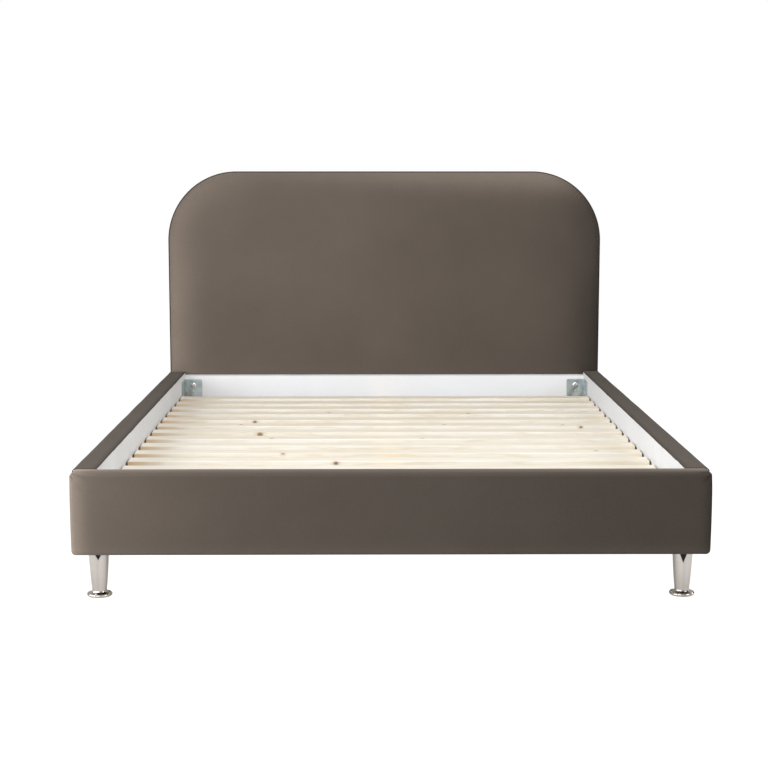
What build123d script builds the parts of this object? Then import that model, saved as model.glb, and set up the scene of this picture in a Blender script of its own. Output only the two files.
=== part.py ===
from build123d import *
import os
from math import cos, radians, sin

# An upholstered bed frame for a 150 by 200 cm mattress, in millimetres.
# X runs across the bed, Y from the foot to the head, and Z up. The origin is on the floor,
# under the middle of the whole frame. Left and right are those of someone at the foot end
# who looks at the headboard.

# The mattress and the room that the frame leaves round it
mattress_width = 1500
mattress_length = 2000
mattress_side_room = 4
mattress_end_room = 5

# Heights
floor_clearance = 118
rail_height = 212
slat_recess = 73
head_rail_recess = 12
headboard_rise = 752

# Upholstery layers of the rails and the headboard
cover_thickness = 2
lining_thickness = 2
back_cloth_thickness = 2
rail_foam_thickness = 19
headboard_foam_thickness = 40

# Timber behind the upholstery
rail_board_thickness = 38
head_rail_board_thickness = 35
headboard_panel_thickness = 12
headboard_frame_thickness = 29
headboard_upright_width = 60

# Padded shapes: an edge turns over a reach along the face and a depth behind it
headboard_corner_radius = 260
headboard_edge_reach = 46
headboard_edge_depth = 26
headboard_face_reach = 105
headboard_face_crown = 4
rail_corner_radius = 10
rail_edge_reach = 22
rail_edge_depth = 13
rail_face_reach = 72
rail_face_crown = 3
foot_end_inset = 3.5
side_rail_edge_radius = 5
side_rail_crown = 1.5
headboard_edge_steps = 3
rail_edge_steps = 3

# Slats and the ledges that carry them
slat_count = 14
slat_width = 66
slat_thickness = 18
slat_edge_chamfer = 1.5
slat_end_gap = 5
slat_end_room = 129
ledge_width = 30
ledge_height = 42

# Centre rail, its hangers, its legs and their levelling feet
centre_rail_width = 70
centre_rail_height = 42
hanger_thickness = 2.5
hanger_reach = 45
hanger_ear_width = 30
centre_leg_side = 45
centre_leg_bore_depth = 62
centre_leg_place_shares = (1 / 3, 2 / 3)
levelling_foot_radius = 22
levelling_foot_thickness = 9
levelling_stem_radius = 5
levelling_stem_length = 48
levelling_gap = 0.3

# Corner blocks, turned legs and the plates that they screw to
corner_block_side = 95
leg_inset = 65
leg_top_radius = 24.75
leg_waist_radius = 18.75
leg_flare_height = 5
leg_disc_radius = 32.5
leg_disc_thickness = 9.5
leg_rim_chamfer = 3
leg_rim_share = 0.25
leg_plate_side = 80
leg_plate_thickness = 3
leg_plate_corner_cut = 8
leg_stud_radius = 5
leg_stud_length = 28

# Pressed corner brackets
bracket_thickness = 2.5
bracket_bend_chamfer = 2
bracket_height = 64
bracket_lift = 1
bracket_face_width = 66
bracket_side_length = 95
bracket_corner_radius = 5
bracket_bolt_drop = 22
bracket_spare_hole_drop = 43
bracket_spare_hole_radius = 4

# Fasteners, and what every turned piece and hole shares
bolt_radius = 4
bolt_head_radius = 11
bolt_head_height = 5
bolt_dome_shares = ((1, 0.2), (0.8, 0.75), (0.45, 1))
bolt_end_gap = 2
insert_nut_radius = 6
insert_nut_length = 18
hole_clearance = 0.1
turned_flats = 24
overrun = 20

# Heights worked out from the values above
rail_top_z = floor_clearance + rail_height
head_rail_top_z = rail_top_z - head_rail_recess
slat_top_z = rail_top_z - slat_recess
slat_bottom_z = slat_top_z - slat_thickness
ledge_bottom_z = slat_bottom_z - ledge_height
centre_rail_bottom_z = slat_bottom_z - centre_rail_height
headboard_top_z = rail_top_z + headboard_rise
bracket_bottom_z = slat_bottom_z + bracket_lift
bracket_top_z = bracket_bottom_z + bracket_height
bolt_z = bracket_top_z - bracket_bolt_drop

# Widths
inner_width = mattress_width + 2 * mattress_side_room
rail_thickness = lining_thickness + rail_board_thickness + rail_foam_thickness + cover_thickness
rail_inner_x = inner_width / 2
rail_outer_x = rail_inner_x + rail_thickness
headboard_half_width = rail_outer_x
bolt_x = rail_inner_x - bracket_face_width / 2

# Places along the bed
inner_length = mattress_length + 2 * mattress_end_room
head_rail_thickness = lining_thickness + head_rail_board_thickness
headboard_front_layers = headboard_foam_thickness + cover_thickness
headboard_back_layers = headboard_frame_thickness + back_cloth_thickness
headboard_thickness = headboard_front_layers + headboard_panel_thickness + headboard_back_layers
overall_length = rail_thickness + inner_length + head_rail_thickness + headboard_thickness
foot_face_y = -overall_length / 2
foot_inner_y = foot_face_y + rail_thickness
foot_board_y = foot_inner_y - lining_thickness - rail_board_thickness
head_inner_y = foot_inner_y + inner_length
headboard_front_y = head_inner_y + head_rail_thickness
headboard_panel_y = headboard_front_y + headboard_front_layers
headboard_frame_y = headboard_panel_y + headboard_panel_thickness
headboard_cloth_y = headboard_frame_y + headboard_frame_thickness
headboard_back_y = headboard_cloth_y + back_cloth_thickness
headboard_seam_y = headboard_front_y + headboard_face_crown + headboard_edge_depth

sides = {"left": -1, "right": 1}
inner_ends = {"foot": foot_inner_y, "head": head_inner_y}
leg_ends = {"foot": foot_face_y + leg_inset, "head": headboard_front_y - leg_inset}


def slab(x_span, y_span, z_span):
    """A rectangular block between two places on each axis."""
    spans = (x_span, y_span, z_span)
    size = [high - low for low, high in spans]
    middle = [(low + high) / 2 for low, high in spans]
    return Pos(*middle) * Box(*size)


def rod_y(x, z, radius, y_from, y_to):
    """A round bar along Y."""
    circle = Plane.XZ.offset(-y_from) * Pos(x, z) * Circle(radius)
    return extrude(circle, y_to - y_from, dir=(0, 1, 0))


def rod_z(x, y, radius, z_from, z_to):
    """A round bar along Z."""
    return extrude(Pos(x, y, z_from) * Circle(radius), z_to - z_from, dir=(0, 0, 1))


def turned(profile):
    """A turned piece round Z, from the radius and height of each ring, with flats for its round."""
    rings = []
    for radius, z in profile:
        start = Vector(radius, 0, z)
        rings.append([start.rotate(Axis.Z, flat * 360 / turned_flats) for flat in range(turned_flats)])
    faces = [Face(Wire.make_polygon(ring)) for ring in (rings[0], rings[-1])]
    for low, high in zip(rings, rings[1:]):
        for flat in range(turned_flats):
            corners = (low[flat - 1], low[flat], high[flat], high[flat - 1])
            faces.append(Face(Wire.make_polygon(corners)))
    return Part(Solid(Shell(faces)).wrapped)


def on_side(shape, side):
    """A shape drawn for the right side, mirrored where the left side is wanted."""
    return shape if sides[side] > 0 else mirror(shape, Plane.YZ)


def in_corner(shape, side, end):
    """A shape drawn round the origin for the right head corner, taken to an inner corner."""
    if end == "foot":
        shape = mirror(shape, Plane.XZ)
    return on_side(Pos(rail_inner_x, inner_ends[end]) * shape, side)


# Padded panels


def headboard_outline(inset):
    """Front view of the headboard with its two round top corners, drawn in by an inset."""
    width = 2 * (headboard_half_width - inset)
    height = headboard_top_z - floor_clearance - 2 * inset
    middle_z = (headboard_top_z + floor_clearance) / 2
    outline = Pos(0, middle_z) * Rectangle(width, height)
    top_corners = outline.vertices().group_by(Axis.Y)[-1]
    return fillet(top_corners, headboard_corner_radius - inset)


def foot_outline(inset):
    """Front view of the foot rail, drawn in by an inset, with small round corners."""
    width = 2 * (rail_outer_x - foot_end_inset - inset)
    height = rail_height - 2 * inset
    outline = Pos(0, floor_clearance + rail_height / 2) * RectangleRounded(
        width, height, rail_corner_radius
    )
    return outline


def at_depth(outline, y):
    """An outline stood upright across the bed at a place along it."""
    return Plane.XZ.offset(-y) * outline


def padded_face(outline, front_y, edge_reach, edge_depth, face_reach, face_crown, inset, steps):
    """The front of a padded panel: edges that turn over, then a gently crowned face.

    An inset draws the whole form in by the same thickness, so that two calls make the two
    sides of a layer.
    """
    edge_y = front_y + face_crown + edge_depth
    reach = edge_reach - inset
    depth = edge_depth - inset
    sections = []
    for step in range(steps + 1):
        turn = radians(90 * step / steps)
        drawn_in = inset + reach * (1 - cos(turn))
        sections.append(at_depth(outline(drawn_in), edge_y - depth * sin(turn)))
    sections.append(at_depth(outline(face_reach), front_y + inset))
    return loft(sections, ruled=True)


def headboard_pad(inset):
    """The headboard's padded front, from the seam forward."""
    return padded_face(
        headboard_outline,
        headboard_front_y,
        headboard_edge_reach,
        headboard_edge_depth,
        headboard_face_reach,
        headboard_face_crown,
        inset,
        headboard_edge_steps,
    )


def headboard_wall(inset):
    """The headboard's outline carried straight back from the seam."""
    depth = headboard_back_y - headboard_seam_y
    return extrude(at_depth(headboard_outline(inset), headboard_seam_y), depth, dir=(0, 1, 0))


def layer(shape, y_from, y_to):
    """The slice of a panel between two depths."""
    across = (-headboard_half_width - overrun, headboard_half_width + overrun)
    return shape & slab(across, (y_from, y_to), (0, headboard_top_z + overrun))


def foot_pad(inset):
    """The foot rail's padded shape, from its front to its inner face."""
    front = padded_face(
        foot_outline,
        foot_face_y,
        rail_edge_reach,
        rail_edge_depth,
        rail_face_reach,
        rail_face_crown,
        inset,
        rail_edge_steps,
    )
    edge_y = foot_face_y + rail_face_crown + rail_edge_depth
    edge = at_depth(foot_outline(inset), edge_y)
    return front + extrude(edge, foot_inner_y - edge_y, dir=(0, 1, 0))


def side_rail_section(inset, inner_x):
    """Cross-section of the right side rail: a crowned outer face between two soft edges."""
    low = floor_clearance + inset
    high = rail_top_z - inset
    edge_x = rail_outer_x - side_rail_crown - inset
    corners = [(edge_x, low), (inner_x, low), (inner_x, high), (edge_x, high)]
    face_middle = (rail_outer_x - inset, (low + high) / 2)
    outline = Polyline(*corners) + ThreePointArc(corners[-1], face_middle, corners[0])
    section = make_face(outline)
    outer_corners = section.vertices().group_by(Axis.X)[-1]
    return fillet(outer_corners, side_rail_edge_radius - inset)


def side_rail_bar(inset, inner_x):
    """The right side rail's section carried from the foot rail to the headboard."""
    start = at_depth(side_rail_section(inset, inner_x), foot_inner_y)
    return extrude(start, headboard_front_y - foot_inner_y, dir=(0, 1, 0))


# Fasteners and the holes that they need


def bolt(length):
    """A domed bolt that points along Y, with the underside of its head at the origin."""
    dome = [(across * bolt_head_radius, up * bolt_head_height) for across, up in bolt_dome_shares]
    head = Rot(90, 0, 0) * turned([(bolt_head_radius, 0), *dome])
    return head + rod_y(0, 0, bolt_radius, 0, length)


def insert_nut():
    """A threaded sleeve round the Y axis, with its open mouth at the origin."""
    sleeve = rod_y(0, 0, insert_nut_radius, 0, insert_nut_length)
    return sleeve - rod_y(0, 0, bolt_radius + hole_clearance, -overrun, insert_nut_length + overrun)


def bolt_holes(y_from, y_to):
    """The clearance holes of the two bolts at one end, between two places along the bed."""
    radius = bolt_radius + hole_clearance
    return [rod_y(side * bolt_x, bolt_z, radius, y_from, y_to) for side in sides.values()]


def nut_seats(y_from, y_to):
    """The holes that the two insert nuts at one end sit in."""
    radius = insert_nut_radius + hole_clearance
    return [rod_y(side * bolt_x, bolt_z, radius, y_from, y_to) for side in sides.values()]


# Headboard


def headboard_cover():
    """The velvet front, which turns over the foam's edge as far as the seam."""
    skin = headboard_pad(0) - headboard_pad(cover_thickness)
    return skin - bolt_holes(headboard_front_y - overrun, headboard_panel_y)


def headboard_foam():
    """The foam slab in front of the panel, with its edge turned over inside the cover."""
    inside = headboard_pad(cover_thickness) + headboard_wall(cover_thickness)
    foam = layer(inside, headboard_front_y, headboard_panel_y)
    return foam - bolt_holes(headboard_front_y, headboard_panel_y + overrun)


def headboard_border():
    """The velvet band round the headboard's edge, from the seam to the back."""
    return headboard_wall(0) - headboard_wall(cover_thickness)


def headboard_panel():
    """The plywood panel that carries the foam."""
    panel = layer(headboard_wall(cover_thickness), headboard_panel_y, headboard_frame_y)
    return panel - bolt_holes(headboard_panel_y - overrun, headboard_frame_y + overrun)


def headboard_frame_part(x_span, z_span):
    """What the headboard's outline leaves of a timber behind the panel."""
    y_span = (headboard_frame_y, headboard_cloth_y)
    return headboard_wall(cover_thickness) & slab(x_span, y_span, z_span)


def headboard_upright():
    """The right upright, from the bottom to the start of the round corner."""
    outer_x = headboard_half_width - cover_thickness
    bottom_z = floor_clearance + cover_thickness
    top_z = headboard_top_z - headboard_corner_radius
    return headboard_frame_part((outer_x - headboard_upright_width, outer_x), (bottom_z, top_z))


def headboard_top_board():
    """The shaped board behind the round corners and the top edge."""
    outer_x = headboard_half_width
    bottom_z = headboard_top_z - headboard_corner_radius
    return headboard_frame_part((-outer_x, outer_x), (bottom_z, headboard_top_z))


def headboard_bottom_rail():
    """The timber between the uprights that takes the bolts' insert nuts."""
    reach = headboard_half_width - cover_thickness - headboard_upright_width
    bottom_z = floor_clearance + cover_thickness
    rail = headboard_frame_part((-reach, reach), (bottom_z, head_rail_top_z))
    rail = rail - bolt_holes(headboard_frame_y - overrun, headboard_cloth_y - bolt_end_gap)
    return rail - nut_seats(headboard_frame_y, headboard_frame_y + insert_nut_length)


def headboard_back_cloth():
    """The plain cloth that closes the back."""
    return layer(headboard_wall(cover_thickness), headboard_cloth_y, headboard_back_y)


# Rails


def side_rail_board():
    """The right side rail's timber."""
    inner_x = rail_inner_x + lining_thickness
    x_span = (inner_x, inner_x + rail_board_thickness)
    z_span = (floor_clearance + cover_thickness, rail_top_z - cover_thickness)
    return slab(x_span, (foot_inner_y, headboard_front_y), z_span)


def side_rail_foam():
    """The foam between the right side rail's board and its cover."""
    foam_x = rail_inner_x + lining_thickness + rail_board_thickness
    return side_rail_bar(cover_thickness, foam_x)


def side_rail_cover():
    """The velvet wrapped over the top, the outer face and the underside of the right rail."""
    return side_rail_bar(0, rail_inner_x) - side_rail_bar(cover_thickness, rail_inner_x)


def side_rail_lining():
    """The white cloth on the right side rail's inner face."""
    x_span = (rail_inner_x, rail_inner_x + lining_thickness)
    z_span = (floor_clearance + cover_thickness, rail_top_z - cover_thickness)
    return slab(x_span, (foot_inner_y, headboard_front_y), z_span)


def foot_rail_board():
    """The foot rail's timber, with holes for the bolts and their insert nuts."""
    board = layer(foot_pad(cover_thickness), foot_board_y, foot_board_y + rail_board_thickness)
    board = board - bolt_holes(foot_board_y + bolt_end_gap, foot_inner_y + overrun)
    nut_y = foot_board_y + rail_board_thickness
    return board - nut_seats(nut_y - insert_nut_length, nut_y)


def foot_rail_foam():
    """The foam between the foot rail's board and its cover."""
    return layer(foot_pad(cover_thickness), foot_face_y, foot_board_y)


def foot_rail_cover():
    """The velvet over the foot rail's front, top, underside and ends."""
    return foot_pad(0) - foot_pad(cover_thickness)


def foot_rail_lining():
    """The white cloth on the foot rail's inner face."""
    lining_y = foot_inner_y - lining_thickness
    lining = layer(foot_pad(cover_thickness), lining_y, foot_inner_y)
    return lining - bolt_holes(lining_y - overrun, foot_inner_y + overrun)


def head_rail_board():
    """The timber between the side rails, in front of the headboard."""
    y_span = (head_inner_y + lining_thickness, headboard_front_y)
    z_span = (floor_clearance, head_rail_top_z - lining_thickness)
    board = slab((-rail_inner_x, rail_inner_x), y_span, z_span)
    return board - bolt_holes(head_inner_y - overrun, headboard_front_y + overrun)


def head_rail_lining():
    """The white cloth over the head rail's inner face and top."""
    across = (-rail_inner_x, rail_inner_x)
    face = slab(
        across,
        (head_inner_y, head_inner_y + lining_thickness),
        (floor_clearance, head_rail_top_z),
    )
    top = slab(
        across,
        (head_inner_y, headboard_front_y),
        (head_rail_top_z - lining_thickness, head_rail_top_z),
    )
    return face + top - bolt_holes(head_inner_y - overrun, headboard_front_y + overrun)


# Slats and what carries them


def slat_ledge():
    """The right ledge that the slats' ends lie on."""
    x_span = (rail_inner_x - ledge_width, rail_inner_x)
    return slab(x_span, (foot_inner_y, head_inner_y), (ledge_bottom_z, slat_bottom_z))


def slat(number):
    """One pine slat, counted from the head, with its long edges eased."""
    pitch = (inner_length - 2 * slat_end_room - slat_width) / (slat_count - 1)
    back_y = head_inner_y - slat_end_room - (number - 1) * pitch
    reach = rail_inner_x - slat_end_gap
    board = slab((-reach, reach), (back_y - slat_width, back_y), (slat_bottom_z, slat_top_z))
    return chamfer(board.edges().filter_by(Axis.X), slat_edge_chamfer)


def centre_rail():
    """The timber under the middle of the slats."""
    reach = centre_rail_width / 2
    y_span = (foot_inner_y + hanger_thickness, head_inner_y - hanger_thickness)
    return slab((-reach, reach), y_span, (centre_rail_bottom_z, slat_bottom_z))


def centre_rail_hanger():
    """A folded steel stirrup on the head rail that the centre rail's end drops into."""
    inside = centre_rail_width / 2
    outside = inside + hanger_thickness
    ear_reach = inside + hanger_ear_width
    floor_z = centre_rail_bottom_z - hanger_thickness
    ends = (head_inner_y - hanger_reach, head_inner_y)
    back = slab(
        (-ear_reach, ear_reach),
        (head_inner_y - hanger_thickness, head_inner_y),
        (floor_z, slat_bottom_z),
    )
    cradle = slab((-outside, outside), ends, (floor_z, slat_bottom_z))
    channel = slab(
        (-inside, inside),
        (ends[0] - overrun, head_inner_y - hanger_thickness),
        (centre_rail_bottom_z, slat_bottom_z + overrun),
    )
    return back + cradle - channel


def centre_rail_hangers():
    """The stirrups at both ends of the centre rail."""
    hanger = centre_rail_hanger()
    middle_y = (foot_inner_y + head_inner_y) / 2
    other = Pos(0, middle_y) * Rot(0, 0, 180) * Pos(0, -middle_y) * hanger
    return Compound(children=[hanger, other])


def centre_leg(share):
    """A post under the centre rail, bored for its levelling foot."""
    y = foot_inner_y + share * inner_length
    bottom_z = levelling_foot_thickness + levelling_gap
    reach = centre_leg_side / 2
    post = slab((-reach, reach), (y - reach, y + reach), (bottom_z, centre_rail_bottom_z))
    bore_radius = levelling_stem_radius + hole_clearance
    return post - rod_z(0, y, bore_radius, bottom_z - overrun, bottom_z + centre_leg_bore_depth)


def levelling_foot(share):
    """The screw-in foot of a centre leg: a round pad and its stem."""
    y = foot_inner_y + share * inner_length
    rings = [(levelling_foot_radius, 0), (levelling_foot_radius, levelling_foot_thickness)]
    stem_top_z = levelling_foot_thickness + levelling_stem_length
    stem = rod_z(0, 0, levelling_stem_radius, 0, stem_top_z)
    return Pos(0, y) * (turned(rings) + stem)


# Legs and corners


def leg(side, end):
    """A turned leg: a cone that flares into a round-rimmed disc, bored for its plate's stud."""
    top_z = floor_clearance - leg_plate_thickness
    rim_low_z = leg_rim_share * leg_disc_thickness
    profile = [
        (leg_disc_radius - leg_rim_chamfer, 0),
        (leg_disc_radius, rim_low_z),
        (leg_disc_radius, leg_disc_thickness - rim_low_z),
        (leg_disc_radius - leg_rim_chamfer, leg_disc_thickness),
        (leg_waist_radius, leg_disc_thickness + leg_flare_height),
        (leg_top_radius, top_z),
    ]
    bore_radius = leg_stud_radius + hole_clearance
    bore_bottom_z = top_z - leg_stud_length - hole_clearance
    bored = turned(profile) - rod_z(0, 0, bore_radius, bore_bottom_z, top_z + overrun)
    return Pos(sides[side] * (rail_outer_x - leg_inset), leg_ends[end]) * bored


def leg_plate():
    """A steel plate with the stud that a leg screws on to, round the origin at its top face."""
    outline = Rectangle(leg_plate_side, leg_plate_side)
    outline = chamfer(outline.vertices(), leg_plate_corner_cut)
    plate = Pos(0, 0, -leg_plate_thickness) * extrude(outline, leg_plate_thickness)
    return plate + rod_z(0, 0, leg_stud_radius, -leg_plate_thickness - leg_stud_length, 0)


def leg_plates():
    """The four leg plates under the corners of the frame."""
    plate = leg_plate()
    plates = []
    for side in sides.values():
        for leg_y in leg_ends.values():
            plates.append(Pos(side * (rail_outer_x - leg_inset), leg_y, floor_clearance) * plate)
    return Compound(children=plates)


def corner_blocks():
    """The timber blocks inside the four corners, between the leg plates and the ledges."""
    span = (-corner_block_side, 0)
    block = slab(span, span, (floor_clearance, ledge_bottom_z))
    return Compound(children=[in_corner(block, side, end) for side in sides for end in inner_ends])


def corner_bracket(side, end):
    """A pressed steel angle: one leaf on the end rail, one on the side rail, rounded on top."""
    thickness = bracket_thickness
    face_plan = slab((-bracket_face_width, 0), (-thickness, 0), (bracket_bottom_z, bracket_top_z))
    side_plan = slab((-thickness, 0), (-bracket_side_length, 0), (bracket_bottom_z, bracket_top_z))
    far_face = face_plan.edges().filter_by(Axis.Y).group_by(Axis.X)[0].sort_by(Axis.Z)[-1]
    far_side = side_plan.edges().filter_by(Axis.X).group_by(Axis.Y)[0].sort_by(Axis.Z)[-1]
    leaves = fillet(far_face, bracket_corner_radius) + fillet(far_side, bracket_corner_radius)
    bend = leaves.edges().filter_by(Axis.Z).sort_by_distance((0, 0, bolt_z))[0]
    leaves = chamfer(bend, bracket_bend_chamfer)
    middle_x = -bracket_face_width / 2
    spare_z = bracket_top_z - bracket_spare_hole_drop
    leaves = leaves - rod_y(middle_x, bolt_z, bolt_radius + hole_clearance, -overrun, overrun)
    leaves = leaves - rod_y(middle_x, spare_z, bracket_spare_hole_radius, -overrun, overrun)
    return in_corner(leaves, side, end)


def headboard_bolts():
    """The two long bolts through the head rail into the headboard."""
    start_y = head_inner_y - bracket_thickness
    length = headboard_cloth_y - bolt_end_gap - start_y
    bolts = [Pos(side * bolt_x, start_y, bolt_z) * bolt(length) for side in sides.values()]
    return Compound(children=bolts)


def foot_rail_bolts():
    """The two short bolts from the brackets into the foot rail."""
    start_y = foot_inner_y + bracket_thickness
    length = start_y - foot_board_y - bolt_end_gap
    turned = Rot(0, 0, 180) * bolt(length)
    bolts = [Pos(side * bolt_x, start_y, bolt_z) * turned for side in sides.values()]
    return Compound(children=bolts)


def insert_nuts():
    """The threaded sleeves in the headboard's bottom rail and in the foot rail."""
    foot_nut_y = foot_board_y + rail_board_thickness - insert_nut_length
    nuts = []
    for side in sides.values():
        for nut_y in (headboard_frame_y, foot_nut_y):
            nuts.append(Pos(side * bolt_x, nut_y, bolt_z) * insert_nut())
    return Compound(children=nuts)


def build_parts():
    """Every sub-part by its name."""
    parts = {
        "headboard_cover": headboard_cover(),
        "headboard_foam": headboard_foam(),
        "headboard_border": headboard_border(),
        "headboard_panel": headboard_panel(),
        "headboard_top_board": headboard_top_board(),
        "headboard_bottom_rail": headboard_bottom_rail(),
        "headboard_back_cloth": headboard_back_cloth(),
        "foot_rail_board": foot_rail_board(),
        "foot_rail_foam": foot_rail_foam(),
        "foot_rail_cover": foot_rail_cover(),
        "foot_rail_lining": foot_rail_lining(),
        "head_rail_board": head_rail_board(),
        "head_rail_lining": head_rail_lining(),
        "centre_rail": centre_rail(),
        "centre_rail_hangers": centre_rail_hangers(),
        "leg_plates": leg_plates(),
        "corner_blocks": corner_blocks(),
        "headboard_bolts": headboard_bolts(),
        "foot_rail_bolts": foot_rail_bolts(),
        "insert_nuts": insert_nuts(),
    }
    for side in sides:
        parts[f"headboard_upright_{side}"] = on_side(headboard_upright(), side)
        parts[f"side_rail_board_{side}"] = on_side(side_rail_board(), side)
        parts[f"side_rail_foam_{side}"] = on_side(side_rail_foam(), side)
        parts[f"side_rail_cover_{side}"] = on_side(side_rail_cover(), side)
        parts[f"side_rail_lining_{side}"] = on_side(side_rail_lining(), side)
        parts[f"slat_ledge_{side}"] = on_side(slat_ledge(), side)
        for end in inner_ends:
            parts[f"leg_{end}_{side}"] = leg(side, end)
            parts[f"corner_bracket_{end}_{side}"] = corner_bracket(side, end)
    for number in range(1, slat_count + 1):
        parts[f"slat_{number:02d}"] = slat(number)
    for end, share in zip(inner_ends, centre_leg_place_shares):
        parts[f"centre_leg_{end}"] = centre_leg(share)
        parts[f"levelling_foot_{end}"] = levelling_foot(share)
    return parts


os.makedirs("parts", exist_ok=True)
for name, shape in build_parts().items():
    export_step(shape, f"parts/{name}.step")
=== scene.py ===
# %% [markdown]
# # An upholstered bed frame, dressed for its portrait
# The engineer's model of the bed is already packed as a fixed frame: timber, slats, steel and
# plain solids for everything soft. This lesson puts the looks on it. The frame is loaded, the
# soft solids give way to velvet and cloth, the turned steel gets its smooth form, and every
# surface that stays gets a finish made of nodes.

# %% Load the frame
from math import atan2, ceil, copysign, cos, exp, hypot, pi, radians, sin

import bmesh
import bpy
from mathutils import Matrix, Vector, noise


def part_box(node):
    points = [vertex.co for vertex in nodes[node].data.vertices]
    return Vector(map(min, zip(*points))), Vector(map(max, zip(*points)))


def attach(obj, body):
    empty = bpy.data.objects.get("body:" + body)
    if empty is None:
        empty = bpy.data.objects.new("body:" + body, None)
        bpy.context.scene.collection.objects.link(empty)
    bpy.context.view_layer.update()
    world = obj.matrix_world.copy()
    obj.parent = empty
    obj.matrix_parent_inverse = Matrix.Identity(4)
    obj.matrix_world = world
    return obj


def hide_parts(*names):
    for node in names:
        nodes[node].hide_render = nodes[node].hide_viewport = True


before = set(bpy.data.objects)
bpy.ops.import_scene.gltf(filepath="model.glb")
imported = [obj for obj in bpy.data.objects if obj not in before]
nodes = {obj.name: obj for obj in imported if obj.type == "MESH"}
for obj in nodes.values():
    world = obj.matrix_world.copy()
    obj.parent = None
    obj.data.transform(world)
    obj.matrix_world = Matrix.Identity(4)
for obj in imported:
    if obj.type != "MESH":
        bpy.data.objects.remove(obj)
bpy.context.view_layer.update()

# %% [markdown]
# ## The camera
# A product portrait is taken from far off with a long lens, so that the bed hardly tapers. The
# lens and the place below come from the rail lines: they meet at the horizon, and the distance
# between the two ends of the bed tells how strong the perspective is. The camera could also be
# aimed with a constraint, but plain angles stay put when the scene is run again.

# %% Camera
CAMERA_PLACE = (-0.05116, -5.12418, 1.08232)
CAMERA_DOWN = radians(7.443)
CAMERA_RIGHT = radians(0.461)
CAMERA_LENS = 76.33

camera_data = bpy.data.cameras.new("camera")
camera_data.sensor_width = 36
camera_data.lens = CAMERA_LENS
camera = bpy.data.objects.new("camera", camera_data)
camera.location = CAMERA_PLACE
camera.rotation_euler = (pi / 2 - CAMERA_DOWN, 0, -CAMERA_RIGHT)
bpy.context.scene.collection.objects.link(camera)
bpy.context.scene.camera = camera
bpy.context.scene.view_settings.view_transform = "Standard"
print("camera: a", CAMERA_LENS, "mm lens at", CAMERA_PLACE)

# %% [markdown]
# ## Small helpers for the workbench
# Every operator works on whatever is selected, so each step begins by clearing the selection.
# In edit mode the parts of a mesh are picked by a question about their place, in the way that
# a hand picks them by eye. The helpers are short, and every piece below uses them.


# %% Selecting
def alone():
    """Leaves edit mode and selects nothing, so that the next operator has its own piece only."""
    if bpy.context.object and bpy.context.object.mode == "EDIT":
        leave_edit()
    bpy.ops.object.select_all(action="DESELECT")


def work_on(obj):
    alone()
    obj.select_set(True)
    bpy.context.view_layer.objects.active = obj


def select_none(mode):
    """Selects nothing, and sets what is picked next: VERT, EDGE or FACE."""
    bpy.ops.mesh.select_mode(type=mode)
    bpy.ops.mesh.select_all(action="DESELECT")


def select_whole():
    bpy.ops.mesh.select_all(action="SELECT")


def edit(obj, mode="FACE"):
    work_on(obj)
    bpy.ops.object.mode_set(mode="EDIT")
    select_none(mode)


def leave_edit():
    bpy.ops.object.mode_set(mode="OBJECT")


def middle(part):
    """Where a vertex, an edge or a face is."""
    if isinstance(part, bmesh.types.BMVert):
        return part.co
    if isinstance(part, bmesh.types.BMEdge):
        return (part.verts[0].co + part.verts[1].co) / 2
    return part.calc_center_median()


def pick(obj, kind, wanted):
    """Selects the verts, edges or faces for which wanted(part, its middle) is true."""
    mesh = bmesh.from_edit_mesh(obj.data)
    for part in getattr(mesh, kind):
        part.select_set(bool(wanted(part, middle(part))))
    mesh.select_flush_mode()
    bmesh.update_edit_mesh(obj.data)


def along(edge, axis):
    """Whether an edge runs along an axis: 0 is X, 1 is Y and 2 is Z."""
    run = edge.verts[0].co - edge.verts[1].co
    return abs(run[axis]) > 0.99 * run.length


def pull(*move):
    """Extrudes what is selected, and moves it."""
    bpy.ops.mesh.extrude_region_move(TRANSFORM_OT_translate={"value": move})


def on_axis(axis, length):
    """A length along one axis, as a vector."""
    vector = [0, 0, 0]
    vector[axis] = length
    return vector


# %% Starting and finishing a piece
def begin(name):
    """Names the new primitive and brings its size and place into its mesh."""
    obj = bpy.context.object
    obj.name = obj.data.name = name
    bpy.ops.object.transform_apply(location=True, rotation=True, scale=True)
    return obj


def block(name, low, high):
    """A box between two corners, to be shaped further."""
    alone()
    centre = [(a + b) / 2 for a, b in zip(low, high)]
    bpy.ops.mesh.primitive_cube_add(size=1, location=centre)
    bpy.context.object.scale = [b - a for a, b in zip(low, high)]
    return begin(name)


def close_up(obj, angle=40):
    """Merges doubles, points the faces outwards and shades soft where the turn is gentle."""
    edit(obj, "VERT")
    select_whole()
    bpy.ops.mesh.remove_doubles(threshold=0.00002)
    bpy.ops.mesh.normals_make_consistent(inside=False)
    work_on(obj)
    bpy.ops.object.shade_smooth_by_angle(angle=radians(angle))
    return obj


def finish_with(obj, kind, **settings):
    """Adds a modifier, sets it and applies it."""
    work_on(obj)
    modifier = obj.modifiers.new(kind.lower(), kind)
    for key, value in settings.items():
        setattr(modifier, key, value)
    bpy.ops.object.modifier_apply(modifier=modifier.name)
    return obj


def cut_across(obj, axis, start, stop, step, wanted=None):
    """Cuts a mesh in edit mode by a row of flat planes, or only the faces that are wanted."""
    count = max(1, ceil((stop - start) / step))
    for number in range(1, count):
        place = on_axis(axis, start + (stop - start) * number / count)
        bpy.ops.mesh.select_all(action="DESELECT" if wanted else "SELECT")
        if wanted:
            pick(obj, "faces", wanted)
        bpy.ops.mesh.bisect(plane_co=place, plane_no=on_axis(axis, 1))


def paint(obj, name, rule):
    """Writes an attribute of the surface, point by point, from each point's place."""
    layer = obj.data.attributes.new(name, "FLOAT", "POINT")
    for vert in obj.data.vertices:
        layer.data[vert.index].value = rule(*vert.co)


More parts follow.
